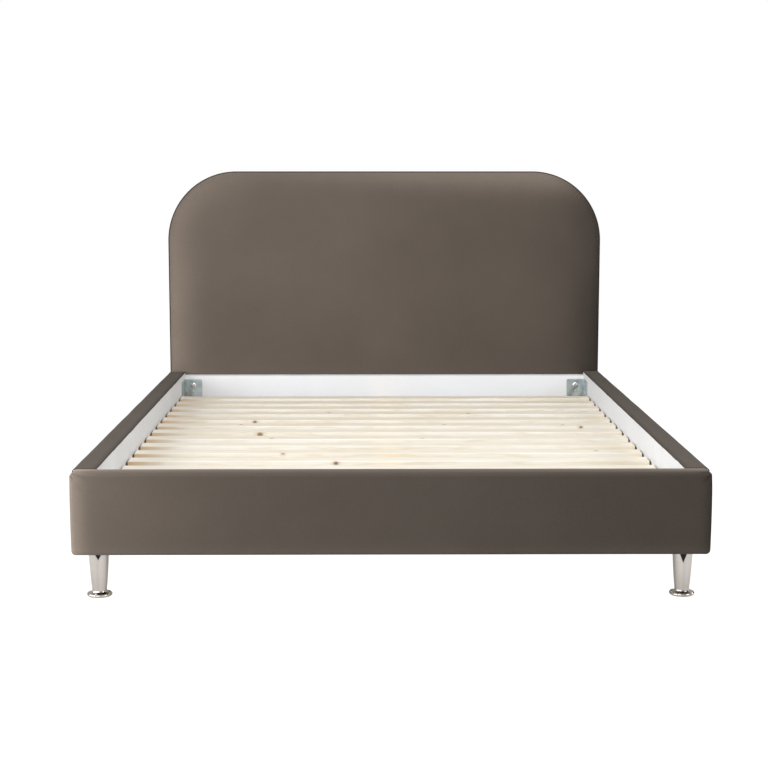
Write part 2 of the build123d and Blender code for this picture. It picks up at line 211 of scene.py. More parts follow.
def hand_over(obj, body, finish, slot, *replaced):
    """Gives a finished piece its material and its body, and hides the nodes that it stands for. The
    slot is not used.
    """
    obj.data.materials.clear()
    obj.data.materials.append(finish)
    if replaced:
        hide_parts(*replaced)
    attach(obj, body)
    sides = zip(*(vert.co for vert in obj.data.vertices))
    size = [round(1000 * (max(side) - min(side))) for side in sides]
    print(f"{obj.name}: {len(obj.data.polygons)} faces, {size} mm")
    return obj


# %% [markdown]
# ## Wiring materials
# A material is a small tree of nodes. Adding each node by hand takes five lines, so one helper
# adds a node, sets what is a number and links what is a socket. Effects that several finishes
# need, such as a wood's grain or a cloth's fibres, become node groups with named inputs.


# %% Nodes
def put(tree, kind, inputs=None, **settings):
    """Adds a shader node; an input may be a value or another node's output socket."""
    node = tree.nodes.new("ShaderNode" + kind)
    for key, value in settings.items():
        setattr(node, key, value)
    for key, value in (inputs or {}).items():
        if isinstance(value, bpy.types.NodeSocket):
            tree.links.new(value, node.inputs[key])
        else:
            node.inputs[key].default_value = value
    return node


def blend_colours(tree, share, first, second, blend="MIX"):
    """Blends two colours, each a socket or a plain (red, green, blue)."""
    first, second = ((*tone, 1) if isinstance(tone, tuple) else tone for tone in (first, second))
    inputs = {0: share, 6: first, 7: second}
    return put(tree, "Mix", inputs, data_type="RGBA", blend_type=blend).outputs[2]


def math(tree, operation, *values):
    return put(tree, "Math", dict(enumerate(values)), operation=operation).outputs[0]


def times(tree, first, second):
    return math(tree, "MULTIPLY", first, second)


def plus(tree, first, second):
    return math(tree, "ADD", first, second)


def minus(tree, first, second):
    return math(tree, "SUBTRACT", first, second)


def larger(tree, first, second):
    return math(tree, "MAXIMUM", first, second)


def vector_math(tree, operation, *values):
    return put(tree, "VectorMath", dict(enumerate(values)), operation=operation).outputs


def share_of(tree, part, whole):
    return math(tree, "DIVIDE", part, whole)


def size_of(tree, value):
    return math(tree, "ABSOLUTE", value)


def spread(tree, value, from_low, from_high, to_low, to_high):
    """Maps a range of values to another, and stops at its ends."""
    inputs = {0: value, 1: from_low, 2: from_high, 3: to_low, 4: to_high}
    return put(tree, "MapRange", inputs).outputs[0]


def own_place(tree, stretch=(1, 1, 1)):
    """The surface's place on the object, stretched along some axes."""
    place = put(tree, "TexCoord").outputs["Object"]
    return put(tree, "Mapping", {"Vector": place, "Scale": stretch}).outputs[0]


def axes_of(tree, vector):
    """The X, Y and Z of a vector."""
    return put(tree, "SeparateXYZ", {0: vector}).outputs


def normal_axes(tree):
    """The X, Y and Z of the way that the surface faces."""
    return axes_of(tree, put(tree, "NewGeometry").outputs["Normal"])


def cloudy(tree, place, scale, detail=2, rough=0.5):
    inputs = {"Vector": place, "Scale": scale, "Detail": detail, "Roughness": rough}
    return put(tree, "TexNoise", inputs).outputs["Fac"]


def colour(red, green, blue):
    return (red, green, blue, 1)


def grey(share):
    return colour(share, share, share)


def new_group(name, inputs, outputs):
    """A node group with sockets given as name: kind, and the two ends of its tree."""
    tree = bpy.data.node_groups.new(name, "ShaderNodeTree")
    for direction, sockets in (("INPUT", inputs), ("OUTPUT", outputs)):
        for socket, kind in sockets.items():
            tree.interface.new_socket(socket, in_out=direction, socket_type="NodeSocket" + kind)
    return tree, tree.nodes.new("NodeGroupInput"), tree.nodes.new("NodeGroupOutput")


def give(tree, end, **sockets):
    for name, socket in sockets.items():
        tree.links.new(socket, end.inputs[name])


def use(tree, group, inputs):
    """Places a group in a material."""
    return put(tree, "Group", inputs, node_tree=group).outputs


def new_finish(name, **sockets):
    """A material with one Principled shader, whose even values are set on its own sockets."""
    material = bpy.data.materials.new(name)
    material.use_nodes = True
    tree = material.node_tree
    shader = tree.nodes["Principled BSDF"]
    for key, value in sockets.items():
        shader.inputs[key.replace("_", " ")].default_value = value
    return material, tree, shader.inputs


def bump(tree, height, distance, strength=1, under=None):
    inputs = {"Height": height, "Distance": distance, "Strength": strength}
    if under:
        inputs["Normal"] = under
    return put(tree, "Bump", inputs).outputs[0]


# %% [markdown]
# ## The studio
# The bed stands on a plain white floor with no visible horizon. For the camera, the floor and
# the world are as good as white, and for the light that bounces between things they keep an
# ordinary strength, so the whites of the bed don't burn out. A large soft lamp stands at the
# left of the foot end. It is near, which makes the light fall off towards the right, and painted
# light and shade on the velvet adds to that fall-off. A dark card, as photographers use, stands
# at the right and draws a line down each chrome leg, beside the dark reflections painted on them.

# %% Floor and world
FLOOR_SIZE = 60
FLOOR_GREY, FLOOR_SHADED, FLOOR_WHITE = 0.8, 0.25, 0.93
ROOM_LIGHT = 0.30
MIRRORED = 0.32


def seen_directly(tree):
    """1 for the camera's own rays, and a part of that for mirror images."""
    path = put(tree, "LightPath").outputs
    mirrored = times(tree, path["Is Glossy Ray"], MIRRORED)
    seen = larger(tree, path["Is Camera Ray"], mirrored)
    return larger(tree, seen, path["Is Transmission Ray"])


alone()
bpy.ops.mesh.primitive_plane_add(size=FLOOR_SIZE)
floor = begin("studio_floor")
floor_finish, tree, shader = new_finish("studio floor")
tree.nodes.remove(tree.nodes["Principled BSDF"])
plain = put(tree, "BsdfDiffuse", {"Color": grey(FLOOR_GREY)}).outputs[0]
pale = put(tree, "BsdfDiffuse", {"Color": grey(FLOOR_SHADED)}).outputs[0]
glow = put(tree, "Emission", {"Color": grey(1), "Strength": FLOOR_WHITE}).outputs[0]
both = put(tree, "AddShader", {0: pale, 1: glow}).outputs[0]
shown = put(tree, "MixShader", {0: seen_directly(tree), 1: plain, 2: both}).outputs[0]
tree.links.new(shown, tree.nodes["Material Output"].inputs["Surface"])
floor.data.materials.append(floor_finish)

world = bpy.data.worlds.new("studio")
bpy.context.scene.world = world
world.use_nodes = True
tree = world.node_tree
strength = spread(tree, seen_directly(tree), 0, 1, ROOM_LIGHT, 1)
tree.nodes["Background"].inputs["Color"].default_value = grey(1)
tree.links.new(strength, tree.nodes["Background"].inputs["Strength"])
print("studio: white floor and world, room light", ROOM_LIGHT)


# %% Lamps
def soft_lamp(name, place, target, size, power):
    data = bpy.data.lights.new(name, "AREA")
    data.shape = "RECTANGLE"
    data.size, data.size_y = size
    data.energy = power
    lamp = bpy.data.objects.new(name, data)
    lamp.location = place
    aim = Vector(target) - Vector(place)
    lamp.rotation_euler = aim.to_track_quat("-Z", "Y").to_euler()
    bpy.context.scene.collection.objects.link(lamp)
    return lamp


# Each lamp's name, place, target, size in metres and power in watts
LAMPS = (
    ("key_lamp", (-3.0, -1.9, 1.15), (0.0, -0.1, 0.5), (3.0, 1.5), 84),
    ("top_lamp", (0.1, -1.2, 2.6), (0.1, -0.5, 0), (2.6, 2.2), 47),
    ("front_lamp", (-1.6, -4.8, 1.5), (0.0, -0.2, 0.35), (2.4, 1.6), 52),
    ("fill_lamp", (2.7, -2.4, 1.7), (-0.7, 0.0, 0.3), (1.4, 1.4), 26),
    ("side_lamp", (2.8, 0.5, 1.0), (-0.75, 0.0, 0.3), (1.4, 1.0), 30),
)
for lamp in LAMPS:
    soft_lamp(*lamp)

alone()
CARD_PLACE, CARD_SIZE = (2.7, 1.6, 0.8), (1.6, 2.8, 1)
bpy.ops.mesh.primitive_plane_add(size=1, location=CARD_PLACE, rotation=(0, pi / 2, 0))
bpy.context.object.scale = CARD_SIZE
card = begin("dark_card")
card_finish, tree, shader = new_finish("dark card", Base_Color=grey(0.03))
card.data.materials.append(card_finish)

# %% [markdown]
# ## Velvet
# Velvet is a dense short pile. It looks dark where you look straight into it and pale where you
# look across it, which is what sheen does in the shader. Fingers and handling leave broad
# clouds where the pile leans another way, and close up it has a fine grain. One group makes
# both. An attribute painted on each piece darkens seams and folds with painted shade, and a
# second one paints light and shade across each piece, paler where light catches it.

# %% Pile group
FINE_PILE, SOFT_PILE = 700, 160
FINE_SHARE, SOFT_SHARE = 0.30, 0.14
pile_group, start, end = new_group(
    "leaning pile",
    {"Place": "Vector", "Clouds": "Float", "Lean": "Float"},
    {"Tone": "Float", "Height": "Float"},
)
tree = pile_group
place = start.outputs["Place"]
clouds = cloudy(tree, place, start.outputs["Clouds"], 3, 0.55)
fine = cloudy(tree, place, FINE_PILE, 2, 0.7)
soft = cloudy(tree, place, SOFT_PILE, 2, 0.6)
tone = plus(tree, 1, times(tree, minus(tree, clouds, 0.5), start.outputs["Lean"]))
for layer, share in ((fine, FINE_SHARE), (soft, SOFT_SHARE)):
    tone = plus(tree, tone, times(tree, minus(tree, layer, 0.5), share))
give(tree, end, Tone=tone, Height=plus(tree, fine, soft))
print("group:", pile_group.name)


# %% Velvet finish
VELVET = (0.125, 0.102, 0.084)
VELVET_PAINTED_SHADE = (0.016, 0.012, 0.010)
CLOUD_SCALE, CLOUD_LEAN = 3.2, 0.34
velvet, tree, shader = new_finish(
    "velvet",
    Roughness=0.92,
    Specular_IOR_Level=0.12,
    Sheen_Weight=0.10,
    Sheen_Roughness=0.30,
    Sheen_Tint=colour(0.80, 0.74, 0.68),
)
inputs = {"Place": own_place(tree), "Clouds": CLOUD_SCALE, "Lean": CLOUD_LEAN}
pile = use(tree, pile_group, inputs)
# Painted shade: an attribute on the pieces darkens the velvet in seams, in folds and behind seams
painted_shade = put(tree, "Attribute", attribute_name="painted_shade").outputs["Fac"]
# Painted light and shade: a second attribute makes the velvet paler where light would catch it and
# deeper where it would fall off
painted_light_fac = put(tree, "Attribute", attribute_name="painted_light_and_shade").outputs["Fac"]
bright = times(tree, pile["Tone"], plus(tree, painted_light_fac, 1))
shade = put(tree, "CombineColor", {0: bright, 1: bright, 2: bright}).outputs[0]
velvet_with_painted_light = blend_colours(tree, 1, VELVET, shade, "MULTIPLY")
tree.links.new(blend_colours(tree, painted_shade, velvet_with_painted_light, VELVET_PAINTED_SHADE), shader["Base Color"])
tree.links.new(bump(tree, pile["Height"], 0.0006, 0.5), shader["Normal"])
print("finish:", velvet.name)


# %% Painted light and shade on the pile
def near(distance, width):
    """1 at a line and 0 far from it. Sums of these are painted on each piece as an attribute of
    painted light and shade: paler where light catches an edge or a shoulder, deeper where it falls
    off."""
    return exp(-((max(0, distance) / width) ** 2))


# %% [markdown]
# ## Plain cloths
# The inner faces of the rails wear a thin white cloth of pressed fibres, and the back of the
# headboard the same cloth in black. Pressed fibres look like long thin streaks that cross in
# every direction, so two stretched noises at an angle are laid over one another.

# %% Fibre group
# How finely the noise is cut across a fibre and along it
FINE, LONG = 900, 90
FIBRES = ((0.6, (FINE, LONG, FINE)), (-0.7, (LONG, FINE, FINE)), (0.1, (FINE, FINE, LONG)))
fibre_group, start, end = new_group("pressed fibres", {"Place": "Vector"}, {"Height": "Float"})
tree = fibre_group
height = 0
for turn, stretch in FIBRES:
    inputs = {"Vector": start.outputs["Place"], "Rotation": (turn, turn, turn), "Scale": stretch}
    turned = put(tree, "Mapping", inputs).outputs[0]
    height = larger(tree, height, cloudy(tree, turned, 1, 2, 0.6))
give(tree, end, Height=height)


# %% Lining and back cloth finishes
SLAT_LOW, SLAT_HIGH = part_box("slat_01")
SLAT_PITCH = SLAT_HIGH.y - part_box("slat_02")[1].y
SLOT_SPARE, SLOT_FADE, SLOT_DARK = 0.04, (0.0070, 0.0025), 0.88
SLOT_SHADE = (0.035, 0.025, 0.018)


def painted_slot_shade(tree):
    """Painted shade: 1 on the cloth beside a slat's end, in a slot so narrow that hardly any light
    gets in.
    """
    at = axes_of(tree, own_place(tree))
    back = minus(tree, SLAT_HIGH.y, at[1])
    turn = math(tree, "FRACT", share_of(tree, back, SLAT_PITCH))
    slot_share = SLOT_SPARE + (SLAT_HIGH.y - SLAT_LOW.y) / SLAT_PITCH
    beside = math(tree, "LESS_THAN", turn, slot_share)
    depth = spread(tree, at[2], *(SLAT_HIGH.z - fade for fade in SLOT_FADE), SLOT_DARK, 0)
    above_ledge = math(tree, "GREATER_THAN", at[2], SLAT_LOW.z)
    inside = times(tree, math(tree, "GREATER_THAN", back, 0), above_ledge)
    return times(tree, times(tree, beside, inside), depth)


def pressed_cloth(name, plain, thin, painted_shade_and_reflection_mask=None, **sockets):
    """A cloth of pressed fibres, a little thinner and darker between its streaks, with painted
    shade where a mask is given.
    """
    material, tree, shader = new_finish(name, **sockets)
    fibres = use(tree, fibre_group, {"Place": own_place(tree)})["Height"]
    clouds = cloudy(tree, own_place(tree), 5, 3)
    thinner = spread(tree, fibres, 0.45, 0.75, 0.7, 0)
    share = plus(tree, thinner, spread(tree, clouds, 0.3, 0.7, 0, 0.3))
    surface = blend_colours(tree, share, plain, thin)
    # Painted shade where a mask is given, such as the slots beside the slats
    if painted_shade_and_reflection_mask:
        surface = blend_colours(tree, painted_shade_and_reflection_mask(tree), surface, SLOT_SHADE)
    tree.links.new(surface, shader["Base Color"])
    tree.links.new(bump(tree, fibres, 0.0003, 0.5), shader["Normal"])
    return material


WHITE_CLOTH = (0.84, 0.85, 0.87), (0.74, 0.75, 0.77)
BLACK_CLOTH = (0.020, 0.020, 0.021), (0.010, 0.010, 0.011)
soft = {"Roughness": 0.85, "Sheen_Weight": 0.08}
lining = pressed_cloth("lining cloth", *WHITE_CLOTH, **soft)
# The side linings take painted shade in the slots beside the slats' ends
side_lining_with_painted_shade = pressed_cloth("side lining cloth with painted shade", *WHITE_CLOTH, painted_slot_shade, **soft)
back_cloth = pressed_cloth("black back cloth", *BLACK_CLOTH, Roughness=0.8)
print("finishes:", lining.name, "and", back_cloth.name)

# %% [markdown]
# ## Wood
# Pine shows pale wood with darker, wavy lines along the board, and now and then a knot. The
# group below stretches noise along the grain and turns it into lines. Which way the grain runs
# is a matter of the board, so it comes in as a stretch. Knots are placed one by one: real
# ones sit where branches grew, and a few dark marks tell the eye that the wood is real.

# %% Grain group
grain_group, start, end = new_group(
    "wood grain",
    {"Place": "Vector", "Lines": "Float"},
    {"Line": "Float", "Pore": "Float", "Cloud": "Float"},
)
tree = grain_group
place = start.outputs["Place"]
sway = cloudy(tree, place, 1.1, 3, 0.5)
rings = math(tree, "SINE", times(tree, sway, start.outputs["Lines"]))
give(
    tree,
    end,
    Line=spread(tree, rings, -0.2, 1, 0, 1),
    Pore=cloudy(tree, place, 22, 3, 0.7),
    Cloud=cloudy(tree, place, 0.7, 2, 0.5),
)

# %% Knot group
KNOT_STRETCH = (0.72, 1, 1)
knot_group, start, end = new_group(
    "knot", {"Place": "Vector", "Centre": "Vector", "Size": "Float"}, {"Dark": "Float"}
)
tree = knot_group
place = start.outputs["Place"]
offset = vector_math(tree, "SUBTRACT", place, start.outputs["Centre"])[0]
reach = vector_math(tree, "LENGTH", vector_math(tree, "MULTIPLY", offset, KNOT_STRETCH)[0])["Value"]
uneven = times(tree, cloudy(tree, place, 240, 2), 0.6)
share = share_of(tree, times(tree, reach, plus(tree, uneven, 0.7)), start.outputs["Size"])
give(tree, end, Dark=spread(tree, share, 0.55, 1.15, 1, 0))


# %% Wood finishes
# Painted shade on the slats' front edges near the left rail: its colour and where it fades out
PAINTED_END_SHADE, END_SHADE_FROM, END_SHADE_TO = (0.60, 0.42, 0.25), -0.745, -0.640
# A knot's tanned ring and its heart: how large and how strong each is, and its colour
KNOT_LAYERS = ((2.1, 0.45, (0.58, 0.40, 0.22)), (1, 1, (0.27, 0.17, 0.09)))


def wood(name, stretch, pale, line, lines=26, depth=0.55, knots=(), rough=0.62):
    """A planed board: pale wood, darker lines along the stretch, and knots at given places. A board
    with knots also has painted shade on its front edges towards its left end."""
    material, tree, shader = new_finish(name, Roughness=rough, Specular_IOR_Level=0.3)
    grain = use(tree, grain_group, {"Place": own_place(tree, stretch), "Lines": lines})
    share = times(tree, grain["Line"], depth)
    share = plus(tree, share, spread(tree, grain["Cloud"], 0.35, 0.7, 0, 0.35))
    share = plus(tree, share, spread(tree, grain["Pore"], 0.5, 0.8, 0, 0.25))
    surface = blend_colours(tree, share, pale, line)
    if knots:
        # Painted shade on the front faces towards the left end
        at_left = spread(tree, axes_of(tree, own_place(tree))[0], END_SHADE_FROM, END_SHADE_TO, 0.75, 0)
        on_edge = spread(tree, normal_axes(tree)[1], -0.8, -0.2, 1, 0)
        surface = blend_colours(tree, times(tree, at_left, on_edge), surface, PAINTED_END_SHADE)
    for centre, size in knots:
        for growth, strong, shade in KNOT_LAYERS:
            inputs = {"Place": own_place(tree), "Centre": centre, "Size": size * growth}
            dark = times(tree, use(tree, knot_group, inputs)["Dark"], strong)
            surface = blend_colours(tree, dark, surface, shade)
    tree.links.new(surface, shader["Base Color"])
    tree.links.new(bump(tree, grain["Pore"], 0.0005, 0.35), shader["Normal"])
    return material


ALONG_X, ALONG_Y, ALONG_Z = (3, 42, 42), (42, 3, 42), (42, 42, 3)
PINE, PINE_LINE = (0.87, 0.83, 0.75), (0.77, 0.68, 0.53)
TIMBER, TIMBER_LINE = (0.66, 0.52, 0.33), (0.48, 0.34, 0.19)
print("wood groups:", grain_group.name, "and", knot_group.name)

# %% [markdown]
# ## Metals and plastic
# Polished metal is mostly a mirror, so it needs little more than smudges, though on the chrome
# legs a few dark reflections are painted into the colour. Zinc plate has soft, bluish patches, and
# steel fasteners have the same with finer marks. One group gives patches and fine scratches at any
# scale, and each metal takes its own share of them.

# %% Patches group
SCRATCHES = (1400, 1400, 60)
patch_group, start, end = new_group(
    "patches and marks", {"Place": "Vector", "Scale": "Float"}, {"Patch": "Float", "Mark": "Float"}
)
tree = patch_group
place, scale = start.outputs["Place"], start.outputs["Scale"]
cells = put(tree, "TexVoronoi", {"Vector": place, "Scale": scale}, feature="SMOOTH_F1")
patch = plus(tree, cells.outputs["Distance"], cloudy(tree, place, scale, 4, 0.6))
drawn = put(tree, "Mapping", {"Vector": place, "Scale": SCRATCHES}).outputs[0]
give(tree, end, Patch=times(tree, patch, 0.6), Mark=cloudy(tree, drawn, 1, 2, 0.7))


# %% Metal finishes
LEG_LOW, LEG_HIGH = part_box("leg_foot_right")
LEG_X, LEG_Y = (LEG_LOW.x + LEG_HIGH.x) / 2, (LEG_LOW.y + LEG_HIGH.y) / 2
PAINTED_REFLECTION_DARK = (0.008, 0.007, 0.006)
VEE_HALF, VEE_SHIFT = 0.0120, 0.0023
CRESCENT_REACH = (0.010, 0.016)
CRESCENT_RISE, CRESCENT_FALL = (0.0070, 0.0085), (0.0110, 0.0130)
FRONT_FADE = (-0.013, -0.007)
# Pairs of values for the left leg and the right leg
VEE_TALL = (0.0214, 0.0319)
CRESCENT_X = (0.011, 0.003)


def leg_painted_reflection(tree):
    """Painted reflections of dark surroundings on a leg: its inner edge, a faint line down its
    front, a V at its top, and a crescent on its disc's front.
    """
    at = axes_of(tree, own_place(tree))
    side = math(tree, "SIGN", at[0])
    inward = times(tree, normal_axes(tree)[0], times(tree, side, -1))
    edge = spread(tree, inward, 0.76, 0.97, 0, 0.50)
    line = spread(tree, size_of(tree, plus(tree, inward, 0.02)), 0.02, 0.30, 0.10, 0)
    outward = minus(tree, size_of(tree, at[0]), LEG_X)
    across = share_of(tree, size_of(tree, plus(tree, outward, VEE_SHIFT)), VEE_HALF)
    tall = spread(tree, side, -1, 1, *VEE_TALL)
    down = share_of(tree, minus(tree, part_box("foot_rail_cover")[0].z, at[2]), tall)
    vee = spread(tree, plus(tree, across, down), 0.85, 1.05, 0.98, 0)
    to_right = minus(tree, times(tree, outward, side), spread(tree, side, -1, 1, *CRESCENT_X))
    crescent = spread(tree, size_of(tree, to_right), *CRESCENT_REACH, 0.95, 0)
    crescent = times(tree, crescent, spread(tree, at[2], *CRESCENT_RISE, 0, 1))
    crescent = times(tree, crescent, spread(tree, at[2], *CRESCENT_FALL, 1, 0))
    in_front = spread(tree, minus(tree, at[1], LEG_Y), *FRONT_FADE, 1, 0)
    dark = times(tree, larger(tree, vee, crescent), in_front)
    return larger(tree, larger(tree, edge, line), dark)


def metal(name, tones, scale, rough, rougher, depth, painted_shade_and_reflection_mask=None):
    """A metal between two tones, with patches of a scale and marks of a depth, and painted dark
    reflections where a mask is given.
    """
    material, tree, shader = new_finish(name, Metallic=1)
    marks = use(tree, patch_group, {"Place": own_place(tree), "Scale": scale})
    share = spread(tree, marks["Patch"], 0.35, 0.75, 0, 1)
    surface = blend_colours(tree, share, *tones)
    # Painted dark reflections, where a mask is given
    if painted_shade_and_reflection_mask:
        surface = blend_colours(tree, painted_shade_and_reflection_mask(tree), surface, PAINTED_REFLECTION_DARK)
    tree.links.new(surface, shader["Base Color"])
    both = plus(tree, times(tree, share, 0.6), times(tree, marks["Mark"], 0.4))
    tree.links.new(spread(tree, both, 0.2, 0.9, rough, rougher), shader["Roughness"])
    tree.links.new(bump(tree, marks["Mark"], depth, 0.3), shader["Normal"])
    return material


CHROME = (0.52, 0.48, 0.44), (0.60, 0.565, 0.53)
ZINC = (0.38, 0.44, 0.46), (0.54, 0.61, 0.63)
STEEL = (0.52, 0.53, 0.54), (0.74, 0.75, 0.76)
PLASTIC = (0.012, 0.012, 0.013), (0.035, 0.035, 0.037)
chrome = metal("polished chrome with painted reflections", CHROME, 9, 0.03, 0.09, 0.00001, leg_painted_reflection)
zinc = metal("bright zinc plate", ZINC, 45, 0.30, 0.50, 0.00004)
steel = metal("fastener steel", STEEL, 160, 0.16, 0.32, 0.00004)

plastic, tree, shader = new_finish("black plastic", Roughness=0.55, Specular_IOR_Level=0.4)
grained = cloudy(tree, own_place(tree), 900, 2)
tree.links.new(blend_colours(tree, grained, *PLASTIC), shader["Base Color"])
tree.links.new(bump(tree, grained, 0.0002, 0.5), shader["Normal"])
print("metals:", chrome.name, zinc.name, steel.name, "and", plastic.name)

# %% [markdown]
# ## Wood, steel and plastic of the frame
# These pieces have their true shapes already, so they only get finishes. The grain follows the
# length of each board. The slats share one pine, and the knots are given by their places on
# the bed, so each lands on one slat alone.

# %% Knots of the slats
# The place and the size of each
KNOTS = (
    ((-0.405, 0.001, 0.251), 0.0072),
    ((-0.439, 0.261, 0.251), 0.0050),
    ((-0.152, -0.517, 0.251), 0.0055),
    ((-0.311, -0.385, 0.257), 0.0042),
    ((-0.197, 0.436, 0.257), 0.0042),
    ((-0.361, -0.111, 0.257), 0.0045),
    ((0.283, 0.413, 0.257), 0.0048),
    ((0.188, 0.160, 0.257), 0.0040),
    ((0.578, 0.159, 0.257), 0.0036),
    ((0.635, 0.131, 0.253), 0.0042),
    ((0.618, -0.346, 0.257), 0.0040),
    ((0.109, -0.111, 0.257), 0.0038),
    ((-0.478, 0.167, 0.257), 0.0040),
)
pine = wood("knotty pine with painted end shade", ALONG_X, PINE, PINE_LINE, knots=KNOTS)
print("pine with", len(KNOTS), "knots on slats whose tops are at", round(SLAT_HIGH.z, 3))

# %% Give the frame's pieces their finishes
timber_along = {
    axis: wood(f"sawn timber along {axis}", stretch, TIMBER, TIMBER_LINE, lines=20, rough=0.75)
    for axis, stretch in (("X", ALONG_X), ("Y", ALONG_Y), ("Z", ALONG_Z))
}
plywood = wood("plywood", (8, 30, 8), (0.62, 0.47, 0.30), (0.50, 0.35, 0.20), lines=30, depth=0.7)
GRAIN_AXIS = {
    "headboard_upright": "Z", "headboard_top_board": "X", "headboard_bottom_rail": "X",
    "foot_rail_board": "X", "head_rail_board": "X", "side_rail_board": "Y", "slat_ledge": "Y",
    "centre_rail": "Y", "centre_leg": "Z", "corner_blocks": "Z",
}  # fmt: skip
METALS = {
    "corner_bracket": zinc, "centre_rail_hangers": zinc, "leg_plates": zinc, "insert_nuts": steel,
}  # fmt: skip


def by_start(table, name):
    """The entry whose key a name starts with."""
    return next((value for start, value in table.items() if name.startswith(start)), None)


for name, node in nodes.items():
    finish = by_start(METALS, name) or timber_along.get(by_start(GRAIN_AXIS, name))
    if name.startswith("slat_") and not name.startswith("slat_ledge"):
        finish = pine
    elif name == "headboard_panel":
        finish = plywood
    if finish:
        node.data.materials.clear()
        node.data.materials.append(finish)
kept = sum(1 for node in nodes.values() if node.data.materials and node.data.materials[0].node_tree)
print("finishes on", kept, "of the frame's pieces")

# %% [markdown]
# ## The headboard's velvet front
# On the bench, foam is glued to the panel, velvet is pulled over it and sewn to a band at the
# edge, so the face is flat with a soft shoulder and a narrow furrow at the seam. The outline is
# drawn first as a flat sheet with two round corners, then inset again and again, and each inset
# comes forward a little less: that is the shoulder. A rounded block would be quicker, but its
# shoulder would be as deep as it is wide, and there would be no furrow.

# %% Outline of the headboard
headboard_low, headboard_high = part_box("headboard_border")
FACE_Y, PANEL_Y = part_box("headboard_cover")[0].y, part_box("headboard_panel")[0].y
SEAM_Y, BACK_Y = headboard_low.y, headboard_high.y
HALF_WIDTH, BOTTOM_Z, TOP_Z = headboard_high.x, headboard_low.z, headboard_high.z
CORNER = 0.260
CORNER_X, CORNER_Z = HALF_WIDTH - CORNER, TOP_Z - CORNER


def outline_sheet(name, inset, y, arc_steps):
    """A flat sheet across the bed with the headboard's outline, drawn in by an inset."""
    alone()
    place = (0, y, (TOP_Z + BOTTOM_Z) / 2)
    bpy.ops.mesh.primitive_plane_add(size=1, location=place, rotation=(pi / 2, 0, 0))
    bpy.context.object.scale = (2 * (HALF_WIDTH - inset), TOP_Z - BOTTOM_Z - 2 * inset, 1)
    obj = begin(name)
    edit(obj, "VERT")
    pick(obj, "verts", lambda vert, place: place.z > CORNER + BOTTOM_Z)
    radius = CORNER - inset
    bpy.ops.mesh.bevel(offset=radius, segments=arc_steps, affect="VERTICES", clamp_overlap=False)
    bpy.ops.mesh.select_mode(type="FACE")
    select_whole()
    return obj


def cut_straights(obj, step):
    """Cuts the sheet by upright and level planes between its round corners, edge and all."""
    cut_across(obj, 0, -CORNER_X, CORNER_X, step)
    cut_across(obj, 2, BOTTOM_Z, CORNER_Z, step)


def cut_corners(obj, step, inside):
    """Cuts the flat face near the round corners, but not the edge that turns over."""
    stretches = ((0, -HALF_WIDTH, -CORNER_X), (0, CORNER_X, HALF_WIDTH), (2, CORNER_Z, TOP_Z))
    for axis, low, high in stretches:

        def on_face(face, place):
            return edge_run(place.x, place.z)[0] > inside and low < place[axis] < high

        cut_across(obj, axis, low, high, step, on_face)


def edge_run(x, z):
    """How far a point lies inside the headboard's outline, and where it is along the edge: in
    metres from the foot of its own side, and from 0 to 1 within the round corner."""
    across, up, over = HALF_WIDTH - abs(x), TOP_Z - z, z - BOTTOM_Z
    straight, arc = CORNER_Z - BOTTOM_Z, CORNER * pi / 2
    if across < CORNER and up < CORNER:
        offset = Vector((CORNER - across, CORNER - up))
        inside, run = CORNER - offset.length, straight + CORNER * atan2(offset.y, offset.x)
    elif across < up:
        inside, run = across, over
    else:
        inside, run = up, straight + arc + across - CORNER
    if over < inside:
        inside, run = over, -across
    return inside, run, (run - straight) / arc


print("headboard outline:", round(2 * HALF_WIDTH, 3), "m wide, corners", CORNER, "m")

# %% Headboard front: insets for the shoulder and the crown
FURROW, FURROW_DEPTH = 0.0032, 0.003
BAND_THICKNESS = 0.0016
SHOULDER_REACH, SHOULDER_STEPS = 0.046, 10
CROWN_REACH, CROWN, CROWN_STEPS = 0.105, 0.004, 5
ARC_STEPS = 190

drawn_in, y = BAND_THICKNESS, SEAM_Y + FURROW_DEPTH
front = outline_sheet("headboard_front_velvet", drawn_in, y, ARC_STEPS)
steps = [(FURROW, y)]
depth = y - (FACE_Y + CROWN)
for step in range(1, SHOULDER_STEPS + 1):
    turn = pi / 2 * step / SHOULDER_STEPS
    steps.append((FURROW + (SHOULDER_REACH - FURROW) * (1 - cos(turn)), y - depth * sin(turn)))
for step in range(1, CROWN_STEPS + 1):
    share = step / CROWN_STEPS
    inset = SHOULDER_REACH + (CROWN_REACH - SHOULDER_REACH) * share
    steps.append((inset, FACE_Y + CROWN * (1 - sin(pi / 2 * share))))
for inset, step_y in steps:
    bpy.ops.mesh.inset(thickness=inset - drawn_in, depth=y - step_y, use_even_offset=True)
    drawn_in, y = inset, step_y
print("headboard front:", len(steps), "insets")

# %% Headboard front: cut the face, close the back
FACE_NET, CORNER_NET = 0.012, 0.014
cut_straights(front, FACE_NET)
cut_corners(front, CORNER_NET, CROWN_REACH)
select_none("EDGE")
pick(front, "edges", lambda edge, place: edge.is_boundary)
pull(0, PANEL_Y - SEAM_Y - FURROW_DEPTH, 0)
bpy.ops.mesh.edge_face_add()
close_up(front, 60)
print("headboard front:", len(front.data.polygons), "faces")


# %% Headboard front: puckers and a hand-made unevenness
PUCKER, PUCKER_LENGTH = 0.0012, 0.0125
SEAM_LINE, SEAM_DARK = 0.0022, 0.25


def ripple(x, run):
    """An uneven row of puckers: a wave whose pace and height both wander."""
    seed = 2.1 if x < 0 else 5.3
    pace = run / PUCKER_LENGTH + 1.6 * noise.noise((run * 14, seed, 0.3))
    height = 0.55 + 0.9 * noise.noise((run * 34, seed, 7.7))
    return max(0, height) * sin(2 * pi * pace)


def behind_seam(y):
    return y > SEAM_Y + 0.0005


